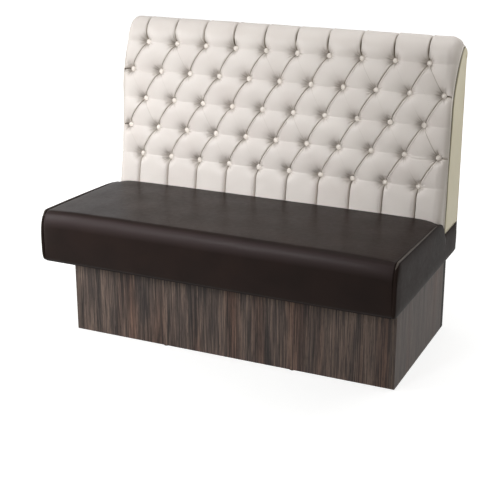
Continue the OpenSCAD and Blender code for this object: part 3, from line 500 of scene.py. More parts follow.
@dataclass(frozen=True)
class WovenCloth(Finish):
    """Woven or spunbonded cloth and twisted twine: dull, with a fine crossing thread."""

    colour: str
    thread: float = 0.0012

    def surface(self, tree: Tree) -> dict[str, object]:
        """Draws the crossing threads.

        Args:
            tree: the node tree.

        Returns:
            The shader's inputs.
        """
        place = object_place(tree, (1 / self.thread,) * 3)
        threads, across = (add_node(tree, "TexWave", {"Scale": 0.5, "Distortion": 0.6, "Vector": place},
                                    bands_direction=way)["Fac"] for way in "XY")
        weave = add_node(tree, "Math", {0: threads, 1: across}, operation="MULTIPLY")[0]
        shade = add_node(tree, "MapRange", {"Value": weave, "To Min": 0.75, "To Max": 1.1})[0]
        colour = add_node(tree, "Mix", {0: 1.0, 6: linear(self.colour), 7: shade},
                          data_type="RGBA", blend_type="MULTIPLY")[2]
        normal = add_node(tree, "Bump", {"Strength": 0.4, "Distance": 0.0002, "Height": weave})[0]
        return {"Base Color": colour, "Normal": normal, "Roughness": 0.9}


# The deep-buttoned cover, satin, with painted shade in its folds
BACK_LEATHER = Leatherette("Back leatherette, light grey-beige", "dcd5d0", "d9d1cc", "dfd8d3",
                           painted_shade_colour="8d8372")
# The back's flat end and rear covers, a shade more olive, with painted shade in the slot beside each end seam
BACK_SIDE_LEATHER = Leatherette("Back side leatherette, olive-beige", "e0d7b9", "ddd4b5", "e3dabd",
                                painted_shade_colour="4e4738")
# The same cloth stretched over the button moulds and welts, painted lighter than the cover: a painted highlight
BUTTON_LEATHER = Leatherette("Button leatherette, light grey-beige", "e9e2db", "e4dcd4", "efe8e2", 0.36)
# The seat's dark cover, with a painted highlight along its front edge
SEAT_LEATHER = Leatherette("Seat leatherette, dark brown", "201613", "1c1310", "241915", 0.36, 0.08,
                           painted_highlight_colour="372e2e")
# The seat's flat end covers, duller
SEAT_END_LEATHER = Leatherette("Seat end leatherette, dark brown", "201815", "1c1512", "241b18", 0.5, 0.036)
# The turned seams at the seat's ends, painted light: a painted highlight along the seam
SEAT_SEAM_LEATHER = Leatherette("Seat seam leatherette, painted highlight", "4d4641", "423b37", "58504a", 0.5, 0.2)
# Spunbonded cloth under the seat's overhang, black and dull
DUST_CLOTH = WovenCloth("Dust cloth, black spunbond", "1b1b1b")


# ---------------------------------------------------------------- shapes and meshes

def smooth_step(value: np.ndarray, low: float, high: float) -> np.ndarray:
    """Goes smoothly from 0 at low to 1 at high.

    Args:
        value: the values.
        low: where it starts.
        high: where it ends.

    Returns:
        The shares.
    """
    s = np.clip((value - low) / (high - low), 0, 1)
    return s * s * (3 - 2 * s)


def bell(value: np.ndarray, width: float | np.ndarray) -> np.ndarray:
    """A round hump of height 1 at nought.

    Args:
        value: distances from its middle.
        width: how wide it is.

    Returns:
        The heights.
    """
    return np.exp(-(value / width) ** 2)


def tail(value: np.ndarray, width: float | np.ndarray) -> np.ndarray:
    """A sharp ridge of height 1 at nought.

    Args:
        value: distances from its middle.
        width: how wide it is.

    Returns:
        The heights.
    """
    return np.exp(-np.abs(value) / width)


def ripple(u: np.ndarray, v: np.ndarray, size: float, seed: int) -> np.ndarray:
    """Soft, even unevenness made of a few crossing waves.

    Args:
        u: place along one way.
        v: place along the other way.
        size: about how wide one swell is.
        seed: picks the waves.

    Returns:
        Values of about -1 to 1.
    """
    random = np.random.default_rng(seed)
    total = np.zeros(np.broadcast(u, v).shape)
    for _ in range(7):
        turn, phase = random.uniform(0, 2 * np.pi, 2)
        scale = 2 * np.pi / (size * random.uniform(1.4, 2.8))
        total = total + np.sin(scale * (u * math.cos(turn) + v * math.sin(turn)) + phase)
    return total / 3.2


def arc(centre: tuple[float, float], radii: tuple[float, float], degrees: list[float]) -> list[list[float]]:
    """Points of an elliptical arc in the YZ plane.

    Args:
        centre: its centre.
        radii: its half width and half height.
        degrees: the points' angles, from +Y towards +Z.

    Returns:
        Y and Z of each point.
    """
    turns = np.radians(degrees)
    return [[centre[0] + radii[0] * c, centre[1] + radii[1] * s] for c, s in zip(np.cos(turns), np.sin(turns))]


def new_piece(name: str, points: np.ndarray, faces: Faces) -> Piece:
    """Makes a smooth mesh object at the origin, with its faces pointing outwards.

    Args:
        name: the piece's name.
        points: places in metres, one row each.
        faces: point numbers of each face.

    Returns:
        The new object.
    """
    mesh = bpy.data.meshes.new(name)
    mesh.from_pydata([tuple(map(float, p)) for p in points], [], faces)
    work = bmesh.new()
    work.from_mesh(mesh)
    bmesh.ops.recalc_face_normals(work, faces=work.faces)
    work.to_mesh(mesh)
    work.free()
    mesh.polygons.foreach_set("use_smooth", [True] * len(mesh.polygons))
    piece = bpy.data.objects.new(name, mesh)
    bpy.context.collection.objects.link(piece)
    return piece


def grid_faces(rows: int, columns: int, first: int = 0, closed: bool = False, turned: bool = False) -> Faces:
    """Faces of a grid whose points are numbered row by row.

    Args:
        rows: how many rows of points.
        columns: how many points in a row.
        first: the number of the first point.
        closed: whether each row runs round into itself.
        turned: whether the faces look the other way.

    Returns:
        The faces.
    """
    faces = []
    for i in range(rows - 1):
        for j in range(columns if closed else columns - 1):
            k = (j + 1) % columns
            a, b = first + i * columns, first + (i + 1) * columns
            face = (a + j, a + k, b + k, b + j)
            faces.append(face[::-1] if turned else face)
    return faces


def laced(a: list[int], b: list[int], a_keys: np.ndarray, b_keys: np.ndarray) -> Faces:
    """Joins two rows of points of different counts by triangles.

    Args:
        a: point numbers of the first row.
        b: point numbers of the second row.
        a_keys: places of the first row's points along the row.
        b_keys: places of the second row's points along the row.

    Returns:
        The triangles.
    """
    faces, i, j = [], 0, 0
    while i < len(a) - 1 or j < len(b) - 1:
        if j == len(b) - 1 or (i < len(a) - 1 and a_keys[i + 1] <= b_keys[j + 1]):
            faces.append((a[i], a[i + 1], b[j]))
            i += 1
        else:
            faces.append((b[j + 1], b[j], a[i]))
            j += 1
    return faces


def end_tube(name: str, side: int, x: np.ndarray, yz: np.ndarray, out: np.ndarray,
             half_width: np.ndarray, half_height: np.ndarray) -> Piece:
    """Builds a closed tube of oval section that follows an end's seam.

    Args:
        name: the piece's name, with {} for the side.
        side: 1 for the right end, -1 for the left end.
        x: X of its middle line at the right end.
        yz: Y and Z of its middle line.
        out: unit direction of its height in the YZ plane.
        half_width: half of its width along X.
        half_height: half of its height.

    Returns:
        The piece.
    """
    sides = 10
    turns = np.linspace(0, 2 * np.pi, sides, endpoint=False)
    ring_x = x[:, None] + np.cos(turns) * half_width[:, None]
    ring_yz = yz[:, None, :] + np.sin(turns)[None, :, None] * (half_height[:, None] * out)[:, None, :]
    points = np.concatenate([side * ring_x[..., None], ring_yz], -1).reshape(-1, 3)
    faces = grid_faces(len(x), sides, closed=True)
    faces.append(tuple(range(sides - 1, -1, -1)))
    faces.append(tuple(range(len(points) - sides, len(points))))
    return new_piece(name.format(SIDES[side]), points, faces)


def end_pad(name: str, side: int, face: np.ndarray, inner_x: float) -> Piece:
    """Closes the outer face of a padded end cover with a flat back and a rim.

    Args:
        name: the piece's name, with {} for the side.
        side: 1 for the right end, -1 for the left end.
        face: grid of the outer face's places at the right end.
        inner_x: X of the flat back at the right end.

    Returns:
        The piece.
    """
    back = face.copy()
    back[..., 0] = inner_x
    rows, columns = face.shape[:2]
    count = rows * columns
    faces = grid_faces(rows, columns) + grid_faces(rows, columns, count, turned=True)
    rim = ([j for j in range(columns)] + [i * columns + columns - 1 for i in range(1, rows)]
           + [(rows - 1) * columns + j for j in range(columns - 2, -1, -1)]
           + [i * columns for i in range(rows - 2, 0, -1)])
    faces += [(rim[i], rim[i - 1], rim[i - 1] + count, rim[i] + count) for i in range(len(rim))]
    points = np.concatenate([face.reshape(-1, 3), back.reshape(-1, 3)]) * np.array([side, 1, 1])
    return new_piece(name.format(SIDES[side]), points, faces)


def store(piece: Piece, name: str, values: np.ndarray) -> None:
    """Stores a number or a vector on each point of a mesh, with 0 for the points that get none.

    Args:
        piece: the piece.
        name: the attribute's name.
        values: the values of the first points, one row each.
    """
    width = values.shape[-1]
    kind, key = ("FLOAT", "value") if width == 1 else ("FLOAT_VECTOR", "vector")
    layer = piece.data.attributes.new(name, kind, "POINT")
    flat = np.zeros(len(piece.data.vertices) * width, np.float32)
    flat[:values.size] = values.ravel()
    layer.data.foreach_set(key, flat)


def hand_over(piece: Piece, finish: Finish, nodes: tuple[str, ...]) -> None:
    """Gives a piece its finish, its body and the nodes that it stands for.

    Args:
        piece: the finished piece.
        finish: its finish.
        nodes: CAD nodes that the piece replaces.
    """
    piece.data.materials.clear()
    piece.data.materials.append(finish.material())
    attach(piece, BODY)
    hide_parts(*nodes)
    log.info("%s: %d faces, %s", piece.name, len(piece.data.polygons), finish.name)


def pick_faces(piece: Piece, up: bool) -> None:
    """Selects, in edit mode, the flat cap of a button's mould.

    Args:
        piece: the object in edit mode.
        up: whether the front cap is picked, or else the rear one.
    """
    work = bmesh.from_edit_mesh(piece.data)
    picked = [f for f in work.faces if (f.normal.z if up else -f.normal.z) > 0.95 and len(f.verts) > 4]
    for face in work.faces:
        face.select_set(False)
    for face in picked:
        face.select_set(True)
    bmesh.update_edit_mesh(piece.data)


def taut_panel(name: str, low: Place, high: Place, seed: int) -> Piece:
    """Models a thin covering that is pulled flat over a panel and folded round its edges.

    Args:
        name: the piece's name.
        low: its lowest corner.
        high: its highest corner.
        seed: picks the slight pull marks.

    Returns:
        The piece.
    """
    bpy.ops.object.select_all(action="DESELECT")
    size = [b - a for a, b in zip(low, high)]
    bpy.ops.mesh.primitive_cube_add(size=1, location=[(a + b) / 2 for a, b in zip(low, high)])
    panel = bpy.context.object
    panel.name = name
    panel.scale = size
    bpy.ops.object.transform_apply(location=True, rotation=True, scale=True)
    bpy.ops.object.mode_set(mode="EDIT")
    bpy.ops.mesh.select_mode(type="EDGE")
    bpy.ops.mesh.select_all(action="DESELECT")
    work = bmesh.from_edit_mesh(panel.data)
    for edge in work.edges:
        edge.select_set(all(v.co.y > high[1] - 1e-5 for v in edge.verts))
    bmesh.update_edit_mesh(panel.data)
    bpy.ops.mesh.bevel(offset=0.0022, segments=3)
    for axis in (0, 2):
        cells = round(size[axis] / 0.04)
        for k in range(1, cells):
            place, normal = [0.0, 0.0, 0.0], [0.0, 0.0, 0.0]
            place[axis] = low[axis] + size[axis] * k / cells
            normal[axis] = 1.0
            bpy.ops.mesh.select_all(action="SELECT")
            bpy.ops.mesh.bisect(plane_co=place, plane_no=normal)
    bpy.ops.object.mode_set(mode="OBJECT")
    co = np.zeros(len(panel.data.vertices) * 3)
    panel.data.vertices.foreach_get("co", co)
    co = co.reshape(-1, 3)
    on_rear = co[:, 1] > high[1] - 0.0003
    edge = np.minimum.reduce([co[:, 0] - low[0], high[0] - co[:, 0], co[:, 2] - low[2], high[2] - co[:, 2]])
    mark = 0.0006 * np.exp(-np.maximum(edge, 0) / 0.05) * (0.5 + 0.5 * ripple(co[:, 0], co[:, 2], 0.05, seed))
    co[on_rear, 1] -= np.clip(mark[on_rear], 0, 0.001)
    panel.data.vertices.foreach_set("co", co.ravel())
    bpy.ops.object.shade_smooth_by_angle(angle=math.radians(35))
    return panel


# ---------------------------------------------------------------- lines of the back

@dataclass
class TurnedLine:
    """A line in the YZ plane that runs up straight and then turns to the rear over two arcs."""

    start: tuple[float, float]
    heading: float
    first_radius: float
    turn: float
    second_radius: float

    @property
    def first_length(self) -> float:
        """Length of the first arc."""
        return self.first_radius * math.radians(self.heading - self.turn)

    def headings(self, t: np.ndarray) -> np.ndarray:
        """Heading in radians after each length t past the start of the turn.

        Args:
            t: lengths along the line.

        Returns:
            The headings.
        """
        first = math.radians(self.heading) - t / self.first_radius
        second = math.radians(self.turn) - (t - self.first_length) / self.second_radius
        return np.where(t <= 0, math.radians(self.heading), np.where(t <= self.first_length, first, second))

    def places(self, t: np.ndarray, inset: np.ndarray | float = 0.0) -> np.ndarray:
        """Places after each length t, moved in by an inset.

        Args:
            t: lengths along the line.
            inset: how far each place lies behind the line.

        Returns:
            Y and Z of each place.
        """
        t = np.asarray(t, float)
        h = self.headings(t)
        h0, h1 = math.radians(self.heading), math.radians(self.turn)
        start = np.array(self.start)
        centre1 = start - self.first_radius * np.array([-math.sin(h0), math.cos(h0)])
        centre2 = centre1 + (self.first_radius - self.second_radius) * np.array([-math.sin(h1), math.cos(h1)])
        normal = np.stack([-np.sin(h), np.cos(h)], -1)
        straight = start + t[..., None] * np.array([math.cos(h0), math.sin(h0)])
        place = np.where(t[..., None] <= 0, straight,
                         np.where(t[..., None] <= self.first_length, centre1 + self.first_radius * normal,
                                  centre2 + self.second_radius * normal))
        return place - np.asarray(inset)[..., None] * normal


@dataclass
class BackLines:
    """The two lines that shape the back: the base line of the button seats and the end seam."""

    deck_z: float = DECK_Z
    rear_y: float = REAR_Y
    foot_y: float = 0.1709
    roll_z: float = 0.950
    lean: float = 8.75
    roll_radius: float = 0.040
    seam_back: float = 0.0216
    seam_lean: float = 1.925
    tip_back: float = 0.0036
    tip_drop: float = 0.0089
    seam_turn: float = 40.0
    seam_end: float = 80.0
    roll_end: float = 85.0
    base: TurnedLine = field(init=False)
    seam: TurnedLine = field(init=False)

    def __post_init__(self) -> None:
        """Works out both lines."""
        heading = 90 - self.lean
        start_y = self.foot_y + (self.roll_z - self.deck_z) * math.tan(math.radians(self.lean))
        top_y = start_y + self.roll_radius * math.sin(math.radians(heading))
        top_z = self.roll_z + self.roll_radius * (1 - math.cos(math.radians(heading)))
        rear_radius = self.rear_y - top_y
        self.base = TurnedLine((start_y, self.roll_z), heading, self.roll_radius, 0.0, rear_radius)
        self.roll_length = self.base.first_length + rear_radius * math.radians(self.roll_end)
        self.edge_z = top_z - rear_radius * (1 - math.cos(math.radians(self.roll_end)))
        seam_heading = 90 - self.seam_lean
        a, b = math.radians(seam_heading), math.radians(self.seam_turn)
        tip_y, tip_z = top_y + self.tip_back, top_z - self.tip_drop
        seam_foot = self.foot_y + self.seam_back
        slope = math.tan(math.radians(self.seam_lean))
        rise, run = math.cos(b) - math.cos(a), math.sin(a) - math.sin(b)
        radius = (tip_y - seam_foot - (tip_z - self.deck_z) * slope) / (run - rise * slope)
        bend_z = tip_z - radius * rise
        bend_y = seam_foot + (bend_z - self.deck_z) * slope
        tip_radius = (self.rear_y - tip_y) / (math.sin(b) + math.sin(math.radians(self.seam_end)))
        self.seam = TurnedLine((bend_y, bend_z), seam_heading, radius, self.seam_turn, tip_radius)
        self.seam_length = self.seam.first_length + tip_radius * math.radians(self.seam_turn + self.seam_end)

    def base_t(self, z: float) -> float:
        """Length along the base line at a height on its straight part."""
        return (z - self.roll_z) / math.sin(math.radians(self.base.heading))

    def seam_t(self, z: np.ndarray | float) -> np.ndarray:
        """Length along the seam line at each height on its front part.

        Args:
            z: heights.

        Returns:
            The lengths.
        """
        z = np.asarray(z, float)
        heading, radius = math.radians(self.seam.heading), self.seam.first_radius
        low = (z - self.seam.start[1]) / math.sin(heading)
        turned = np.arccos(np.clip((z - self.seam.start[1]) / radius + math.cos(heading), -1, 1))
        return np.where(z <= self.seam.start[1], low, radius * (heading - turned))


# ---------------------------------------------------------------- buttoned back

@dataclass(frozen=True)
class PleatShape:
    """A pleat in millimetres: its groove, the cover that falls to it on each side, and the width of its painted
    shade line.
    """

    groove: float
    groove_width: float
    left: float
    left_width: float
    right: float
    line_width: float


# Pleats between the rows, below the lowest row and above the top row
PLEATS = (PleatShape(4.8, 1.4, 1.6, 7.5, 2.2, 1.0), PleatShape(11.0, 2.0, 11.0, 7.5, 5.0, 1.9),
          PleatShape(10.0, 1.8, 6.0, 5.0, 2.2, 1.9))
# Pulls that sag from a button to the next of its row: row, place, sag in mm, strength
PULLS = ((1, 19, 9.0, 1.0), (2, 12, 4.0, 0.7), (3, 13, 3.0, 0.6), (3, 1, 5.0, 0.7))


@dataclass
class ButtonedBack:
    """The buttoned cover with its puffs, pleats and buttons, and what closes the back's ends and rear.

    Places in the field: p counts half pitches from the left buttons, q counts rows from the lowest,
    and columns a follow the pleats, with a = p at the lowest row.
    """

    lines: BackLines = field(default_factory=BackLines)
    half_length: float = HALF_LENGTH
    inner_x: float = WOOD_HALF + GAP
    rear_face_y: float = REAR_FACE_Y
    rear_cover: float = 0.0027
    field_half: float = 0.565
    pitch: float = 0.113
    rows: int = 5
    top_row_z: float = 0.932
    row_step_z: float = 0.0974
    puff: float = 0.039
    foot: float = 0.008
    cover: float = 0.002
    seam_lip: float = 0.0015
    edge_inset: float = 0.0052
    button_width: float = 0.0186
    button_seat: float = 0.0135
    row_dip: float = 1.5
    column_count: int = 22
    row_count: int = 34
    # Painted shade of the pleat lines, the button rings and the end strips, kept as the fold attribute
    shade: np.ndarray = field(init=False)
    crease: np.ndarray = field(init=False)
    button_way: np.ndarray = field(init=False)

    def __post_init__(self) -> None:
        """Works out the lengths along the base line."""
        self.top = self.rows - 1
        self.low_row_t = self.lines.base_t(self.top_row_z - self.top * self.row_step_z)
        self.top_row_t = self.lines.base_t(self.top_row_z)
        self.row_step = (self.top_row_t - self.low_row_t) / self.top
        self.foot_q = (self.lines.base_t(self.lines.deck_z + GAP) - self.low_row_t) / self.row_step
        self.half_pitch = self.pitch / 2
        self.end_p = (self.half_length - self.field_half) / self.half_pitch
        self.last_p = round(2 * self.field_half / self.half_pitch)
        self.buttons = [(p, q) for q in range(self.rows) for p in range(self.last_p + 1) if (p + q) % 2 == 1]

    def pleat_shift(self, a: np.ndarray, q: np.ndarray) -> np.ndarray:
        """How far a column has moved along the bench at row q, in half pitches.

        Each pleat leaves its lower button upright and leans over to the right to the upper one.

        Args:
            a: columns.
            q: rows.

        Returns:
            The shifts.
        """
        inside = np.clip(q, 0, self.top)
        step = np.minimum(np.floor(inside), self.top - 1)
        bow = 1.11 + 0.08 * np.cos(np.clip((a + 4) / (self.last_p + 4), 0, 1) * np.pi)
        above = np.clip((q - self.top) / 1.4, 0, 1)
        return step + (inside - step) ** bow - 0.10 * np.sin(np.pi * above) + 0.16 * above ** 3

    def field_grid(self) -> tuple[np.ndarray, np.ndarray, np.ndarray]:
        """Lays the grid so that its columns follow the pleats.

        Returns:
            Columns a, places p and rows q, one value for each grid point.
        """
        roll_q = (self.lines.roll_length - self.low_row_t) / self.row_step
        v = np.linspace(self.foot_q, roll_q, round((roll_q - self.foot_q) * self.row_count) + 1)
        q = v - 0.6 * np.sin(2 * np.pi * v) / (2 * np.pi)
        q[0], q[-1] = self.foot_q, roll_q
        low_a, high_a = -self.rows, self.last_p + 1
        u = np.linspace(low_a, high_a, (high_a - low_a) * self.column_count + 1)
        a, q = np.meshgrid(u + 0.74 * np.sin(np.pi * u) / np.pi, q)
        p = a + self.pleat_shift(a, q)
        left, right = p[:, :1], p[:, -1:]
        p = np.where(p < 0, p * self.end_p / -left, p)
        p = np.where(p > self.last_p, self.last_p + (p - self.last_p) * self.end_p / (right - self.last_p), p)
        return a, p, q

    def heights(self, a: np.ndarray, p: np.ndarray, q: np.ndarray) -> np.ndarray:
        """Height of the cover over the base line. What it sums up is in millimetres.

        Args:
            a: columns.
            p: places along the bench.
            q: rows.

        Returns:
            The heights in metres.
        """
        height = self.puff * MM - 0.5 - self.row_dips(p, q) - self.pleats(a, q) - self.creases(p, q)
        height = self.pulled(height, p, q)
        # Over the roll the stuffing thins out to the rear edge, and at the foot to the tucked edge
        s = np.clip((q - self.top) * self.row_step / (self.lines.roll_length - self.top_row_t), 0, 1)
        height = height * (1 - 0.95 * np.clip((s - 0.38) / 0.62, 0, 1) ** 1.05)
        tuck = smooth_step(q, self.foot_q, self.foot_q + 0.42)
        height = self.foot * MM + (height - self.foot * MM) * tuck
        return np.maximum(height, 1.0) / MM

    def row_dips(self, p: np.ndarray, q: np.ndarray) -> np.ndarray:
        """How far the nearly flat puffs dip to each row, more beside the buttons.

        Args:
            p: places along the bench.
            q: rows.

        Returns:
            The dips in millimetres.
        """
        row = np.clip(np.round(q), 0, self.top)
        off = (q - row) * self.row_step * MM
        k = p + row
        beside = (k - (2 * np.floor(k / 2) + 1)) * self.half_pitch * MM
        return (self.row_dip * bell(off, 20)
                + (1.1 + 2.2 * tail(beside, 20)) * tail(off, np.where(off > 0, 11, 2.6)))

    def pleats(self, a: np.ndarray, q: np.ndarray) -> np.ndarray:
        """How far the cover dips to the pleats.

        They lean to the right between rows and stand upright below and above the field.
        Each is a narrow fold whose right side stands over its left side.

        Args:
            a: columns.
            q: rows.

        Returns:
            The dips in millimetres.
        """
        nearest = 2 * np.floor(a / 2) + 1
        slope = np.gradient(self.pleat_shift(a, q), axis=0) / np.maximum(np.gradient(q, axis=0), 1e-9)
        tilt = np.sqrt(1 + (slope * self.half_pitch / self.row_step) ** 2)
        d = (a - nearest) * self.half_pitch * MM / tilt
        here = self.pleat_exists(nearest, q)
        foot, head = q < 0, q > self.top
        shapes = np.array([astuple(shape) for shape in PLEATS])[foot + 2 * head]
        groove, groove_width, left, left_width, right, line_width = np.moveaxis(shapes, -1, 0)
        t = q * self.row_step * MM
        uneven = np.where(head, 1 + 0.8 * ripple(t, nearest * 30.0, 11, 9), 1.0)
        left = left * tail(d, left_width)
        right = right * tail(d, 1.8) - 2.3 * bell(d - 3.8, 2.1)
        dip = groove * uneven * tail(d, groove_width)
        dip = here * (dip + np.where(d < 0, left, right + (left - right) * tail(d, 0.8)))
        # Painted shade along each pleat's line, just to its left
        self.shade = here * bell(d + 0.5, line_width) * uneven
        # A second short fold beside each pleat, where it reaches its upper button
        part = np.clip(q - np.clip(np.floor(q), 0, self.top - 1), 0, 1)
        lip = smooth_step(part, 0.66, 0.95) * ((q > 0) & ~head & (q < self.top))
        return dip + here * lip * 1.4 * bell(d + 8.5, 2.2)

    def pleat_exists(self, nearest: np.ndarray, q: np.ndarray) -> np.ndarray:
        """Whether a pleat joins two buttons at that column and row.

        Args:
            nearest: odd columns.
            q: rows.

        Returns:
            1 where it does, 0 where not.
        """
        step = np.clip(np.floor(q), 0, self.top - 1)
        between = (nearest + step >= 0) & (nearest + step + 1 <= self.last_p)
        below = (nearest >= 0) & (nearest <= self.last_p)
        above = (nearest + self.top >= 0) & (nearest + self.top <= self.last_p)
        return np.where(q < 0, below, np.where(q > self.top, above, between)).astype(float)

    def creases(self, p: np.ndarray, q: np.ndarray) -> np.ndarray:
        """How far the cover dips to faint creases that lean to the left, and to pulls along the rows.

        Args:
            p: places along the bench.
            q: rows.

        Returns:
            The dips in millimetres.
        """
        inside = (q > 0) & (q < self.top)
        step = np.clip(np.floor(q), 0, self.top - 1)
        c = p + q
        off = (c - (2 * np.floor(c / 2) + 1)) * self.half_pitch * MM / 1.15
        strength = np.random.default_rng(5).uniform(0, 1, (60, 8)) ** 3
        fade = strength[np.clip(np.floor(c / 2), 0, 59).astype(int), step.astype(int)]
        # They are clear only at the right end
        fade = 0.06 + 0.6 * fade + 1.7 * smooth_step(p, self.last_p - 1.6, self.last_p - 0.8)
        fade = fade * (1 - smooth_step(p, self.last_p, self.last_p + 0.06)) * inside
        # Painted shade: the distance to each crease and its strength draw a dark line in the material
        self.crease = np.stack([off, np.clip(0.45 * fade, 0, 0.8), np.zeros_like(off)], -1)
        dip = fade * (0.9 * bell(off, 3.0) + 1.2 * tail(off, 8))
        for row, place, sag, strong in PULLS:
            span = np.clip(1 - (p - place) ** 2, 0, 1)
            dip += strong * 2.4 * bell((q - row) * self.row_step * MM + sag * span, 2.2) * span ** 0.3
        return dip

    def pulled(self, height: np.ndarray, p: np.ndarray, q: np.ndarray) -> np.ndarray:
        """Pulls the cover down to the buttons, further out on their upper left side, with folds round each, and
        paints shade in a ring round each button.

        Args:
            height: the cover's height in millimetres.
            p: places along the bench.
            q: rows.

        Returns:
            The heights in millimetres.
        """
        x, t = p * self.half_pitch * MM, q * self.row_step * MM
        seat = self.button_seat * MM + 0.4
        ring = np.zeros_like(height)
        nearest_r = np.full_like(height, 1e3)
        self.button_way = np.zeros(height.shape + (3,))
        for i, (bp, bq) in enumerate(self.buttons):
            dx, dt = x - bp * self.half_pitch * MM, t - bq * self.row_step * MM
            r = np.hypot(dx, dt)
            near, closer = r < 100, r < nearest_r
            nearest_r[closer] = r[closer]
            self.button_way[closer] = np.stack([dx, dt, 1 - smooth_step(r, 9.0, 34.0)], -1)[closer]
            self.crease[closer, 2] = 3.7 * i
            turn = np.arctan2(dt, dx)
            past = np.maximum(r - 8.5, 0) / (1 + 0.38 * np.cos(turn - math.radians(140)))
            pull = 0.71 * np.exp(-(past / 7.2) ** 1.1) + 0.29 * np.exp(-(past / 20) ** 1.6)
            side = np.clip(0.35 + 0.65 * np.cos(turn - math.radians(155)), 0.25, 1)
            rays = np.cos(13 * turn + 1.7 * i) + 0.7 * np.cos(18 * turn + 2.9 * i)
            fold = 1.1 * side * bell(r - 19, 8) * rays
            height = np.where(near, height - (height - seat) * pull + fold, height)
            ring = np.maximum(ring, tail(past, 10) * (0.55 + 0.45 * np.cos(turn - math.radians(150)))
                              * (1 - 0.45 * side * rays))
        # Painted shade in a ring round each button, darker on its upper left
        self.shade = np.clip(self.shade + 0.24 * ring, 0, 1)
        return height + 0.5 * ripple(x, t, 55, 3) + 0.2 * ripple(x, t, 18, 4)

    def end_folds(self, w: np.ndarray, q: np.ndarray, t: np.ndarray) -> np.ndarray:
        """Level pleats from the end buttons to the seams, and the gathers of the upper corners.

        Args:
            w: the way from the outermost buttons to the seam, 0 to 1.
            q: rows.
            t: lengths along the base line.

        Returns:
            How far the cover dips, in metres.
        """
        dip, line = np.zeros_like(w), np.zeros_like(w)
        begun = smooth_step(w, 0.0, 0.16)
        for row in (1, 3):
            off = (q - row) * self.row_step * MM
            dip += begun * (0.007 * tail(off, np.where(off > 0, 1.8, 9.0)) + 0.011 * bell(off, 1.7))
            line += begun * bell(off, 1.7)
        # Painted shade along the level pleats, and on the strip that turns down to the seam
        self.shade = np.maximum(self.shade, np.maximum(0.95 * line, 0.30 * smooth_step(w, 0.45, 0.95)))
        corner = smooth_step(q, self.top + 0.15, self.top + 0.6)
        gather = 0.0030 * np.sin(t / 0.0034 + 4 * ripple(t, w * 0.03, 0.03, 8)) * smooth_step(w, 0.3, 0.8)
        return dip + gather * (0.12 + 0.88 * corner)

    def cover_piece(self) -> Piece:
        """Builds the buttoned cover as one closed, stuffed form.

        Returns:
            The piece.
        """
        a, p, q = self.field_grid()
        height = self.heights(a, p, q)
        t = self.low_row_t + q * self.row_step
        row_t = t[:, 0]
        x = -self.field_half + p * self.half_pitch
        # Towards each end the cover turns down to its seam
        w = np.clip((np.abs(x) - self.field_half) / (self.half_length - self.field_half), 0, 1)
        base = self.lines.base.places(t, self.end_folds(w, q, t) - height)
        base_z = self.lines.base.places(row_t)[:, 1]
        s = (row_t - self.top_row_t) / (self.lines.roll_length - self.top_row_t)
        seam_top = float(self.lines.seam_t(self.top_row_z))
        seam_t = np.where(row_t <= self.top_row_t, self.lines.seam_t(np.minimum(base_z, self.top_row_z)),
                          seam_top + s * (self.lines.seam_length - seam_top))
        seam = self.lines.seam.places(seam_t, -self.seam_lip)[:, None, :]
        fall = 0.26 + 0.26 * smooth_step(q, -1.2, 0.4)
        share = ((1 - fall * w ** 2) * np.clip(1 - w ** 8, 0, 1) ** 0.25)[..., None]
        yz = seam + (base - seam) * share
        yz[..., 0] = np.minimum(yz[..., 0], self.lines.rear_y)
        edge_x = self.half_length - self.edge_inset
        drawn_in = (edge_x - self.field_half) / (self.half_length - self.field_half)
        x = np.where(w > 0, np.sign(x) * (self.field_half + (np.abs(x) - self.field_half) * drawn_in), x)
        front = np.concatenate([x[..., None], yz], -1)
        rows, columns = x.shape
        # The rear of the form lies on the foam
        behind = self.lines.base.places(row_t, self.cover)
        seam_behind = self.lines.seam.places(seam_t, 0.0)
        keep = self.field_half + 0.0087
        rear_x = np.array([-edge_x, -keep, 0.0, keep, edge_x])
        rear = np.zeros((rows, 5, 3))
        rear[..., 0] = rear_x
        rear[..., 1:] = np.stack([seam_behind, behind, behind, behind, seam_behind], 1)
        first = rows * columns
        faces = grid_faces(rows, columns) + grid_faces(rows, 5, first, turned=True)
        for i in range(rows - 1):
            f0, f1 = i * columns, (i + 1) * columns
            r0, r1 = first + i * 5, first + (i + 1) * 5
            faces.append((f0, f1, r1, r0))
            faces.append((f0 + columns - 1, r0 + 4, r1 + 4, f1 + columns - 1))
        for i in (0, rows - 1):
            edge = [i * columns + j for j in range(columns)]
            faces += laced(edge, [first + i * 5 + j for j in range(5)], x[i], rear_x)
        points = np.concatenate([front.reshape(-1, 3), rear.reshape(-1, 3)])
        piece = new_piece("back_buttoned_cover", points, faces)
        # The painted shade goes to the material as the fold attribute
        store(piece, "fold", self.shade[..., None])
        store(piece, "crease", self.crease)
        store(piece, "button_way", self.button_way)
        return piece

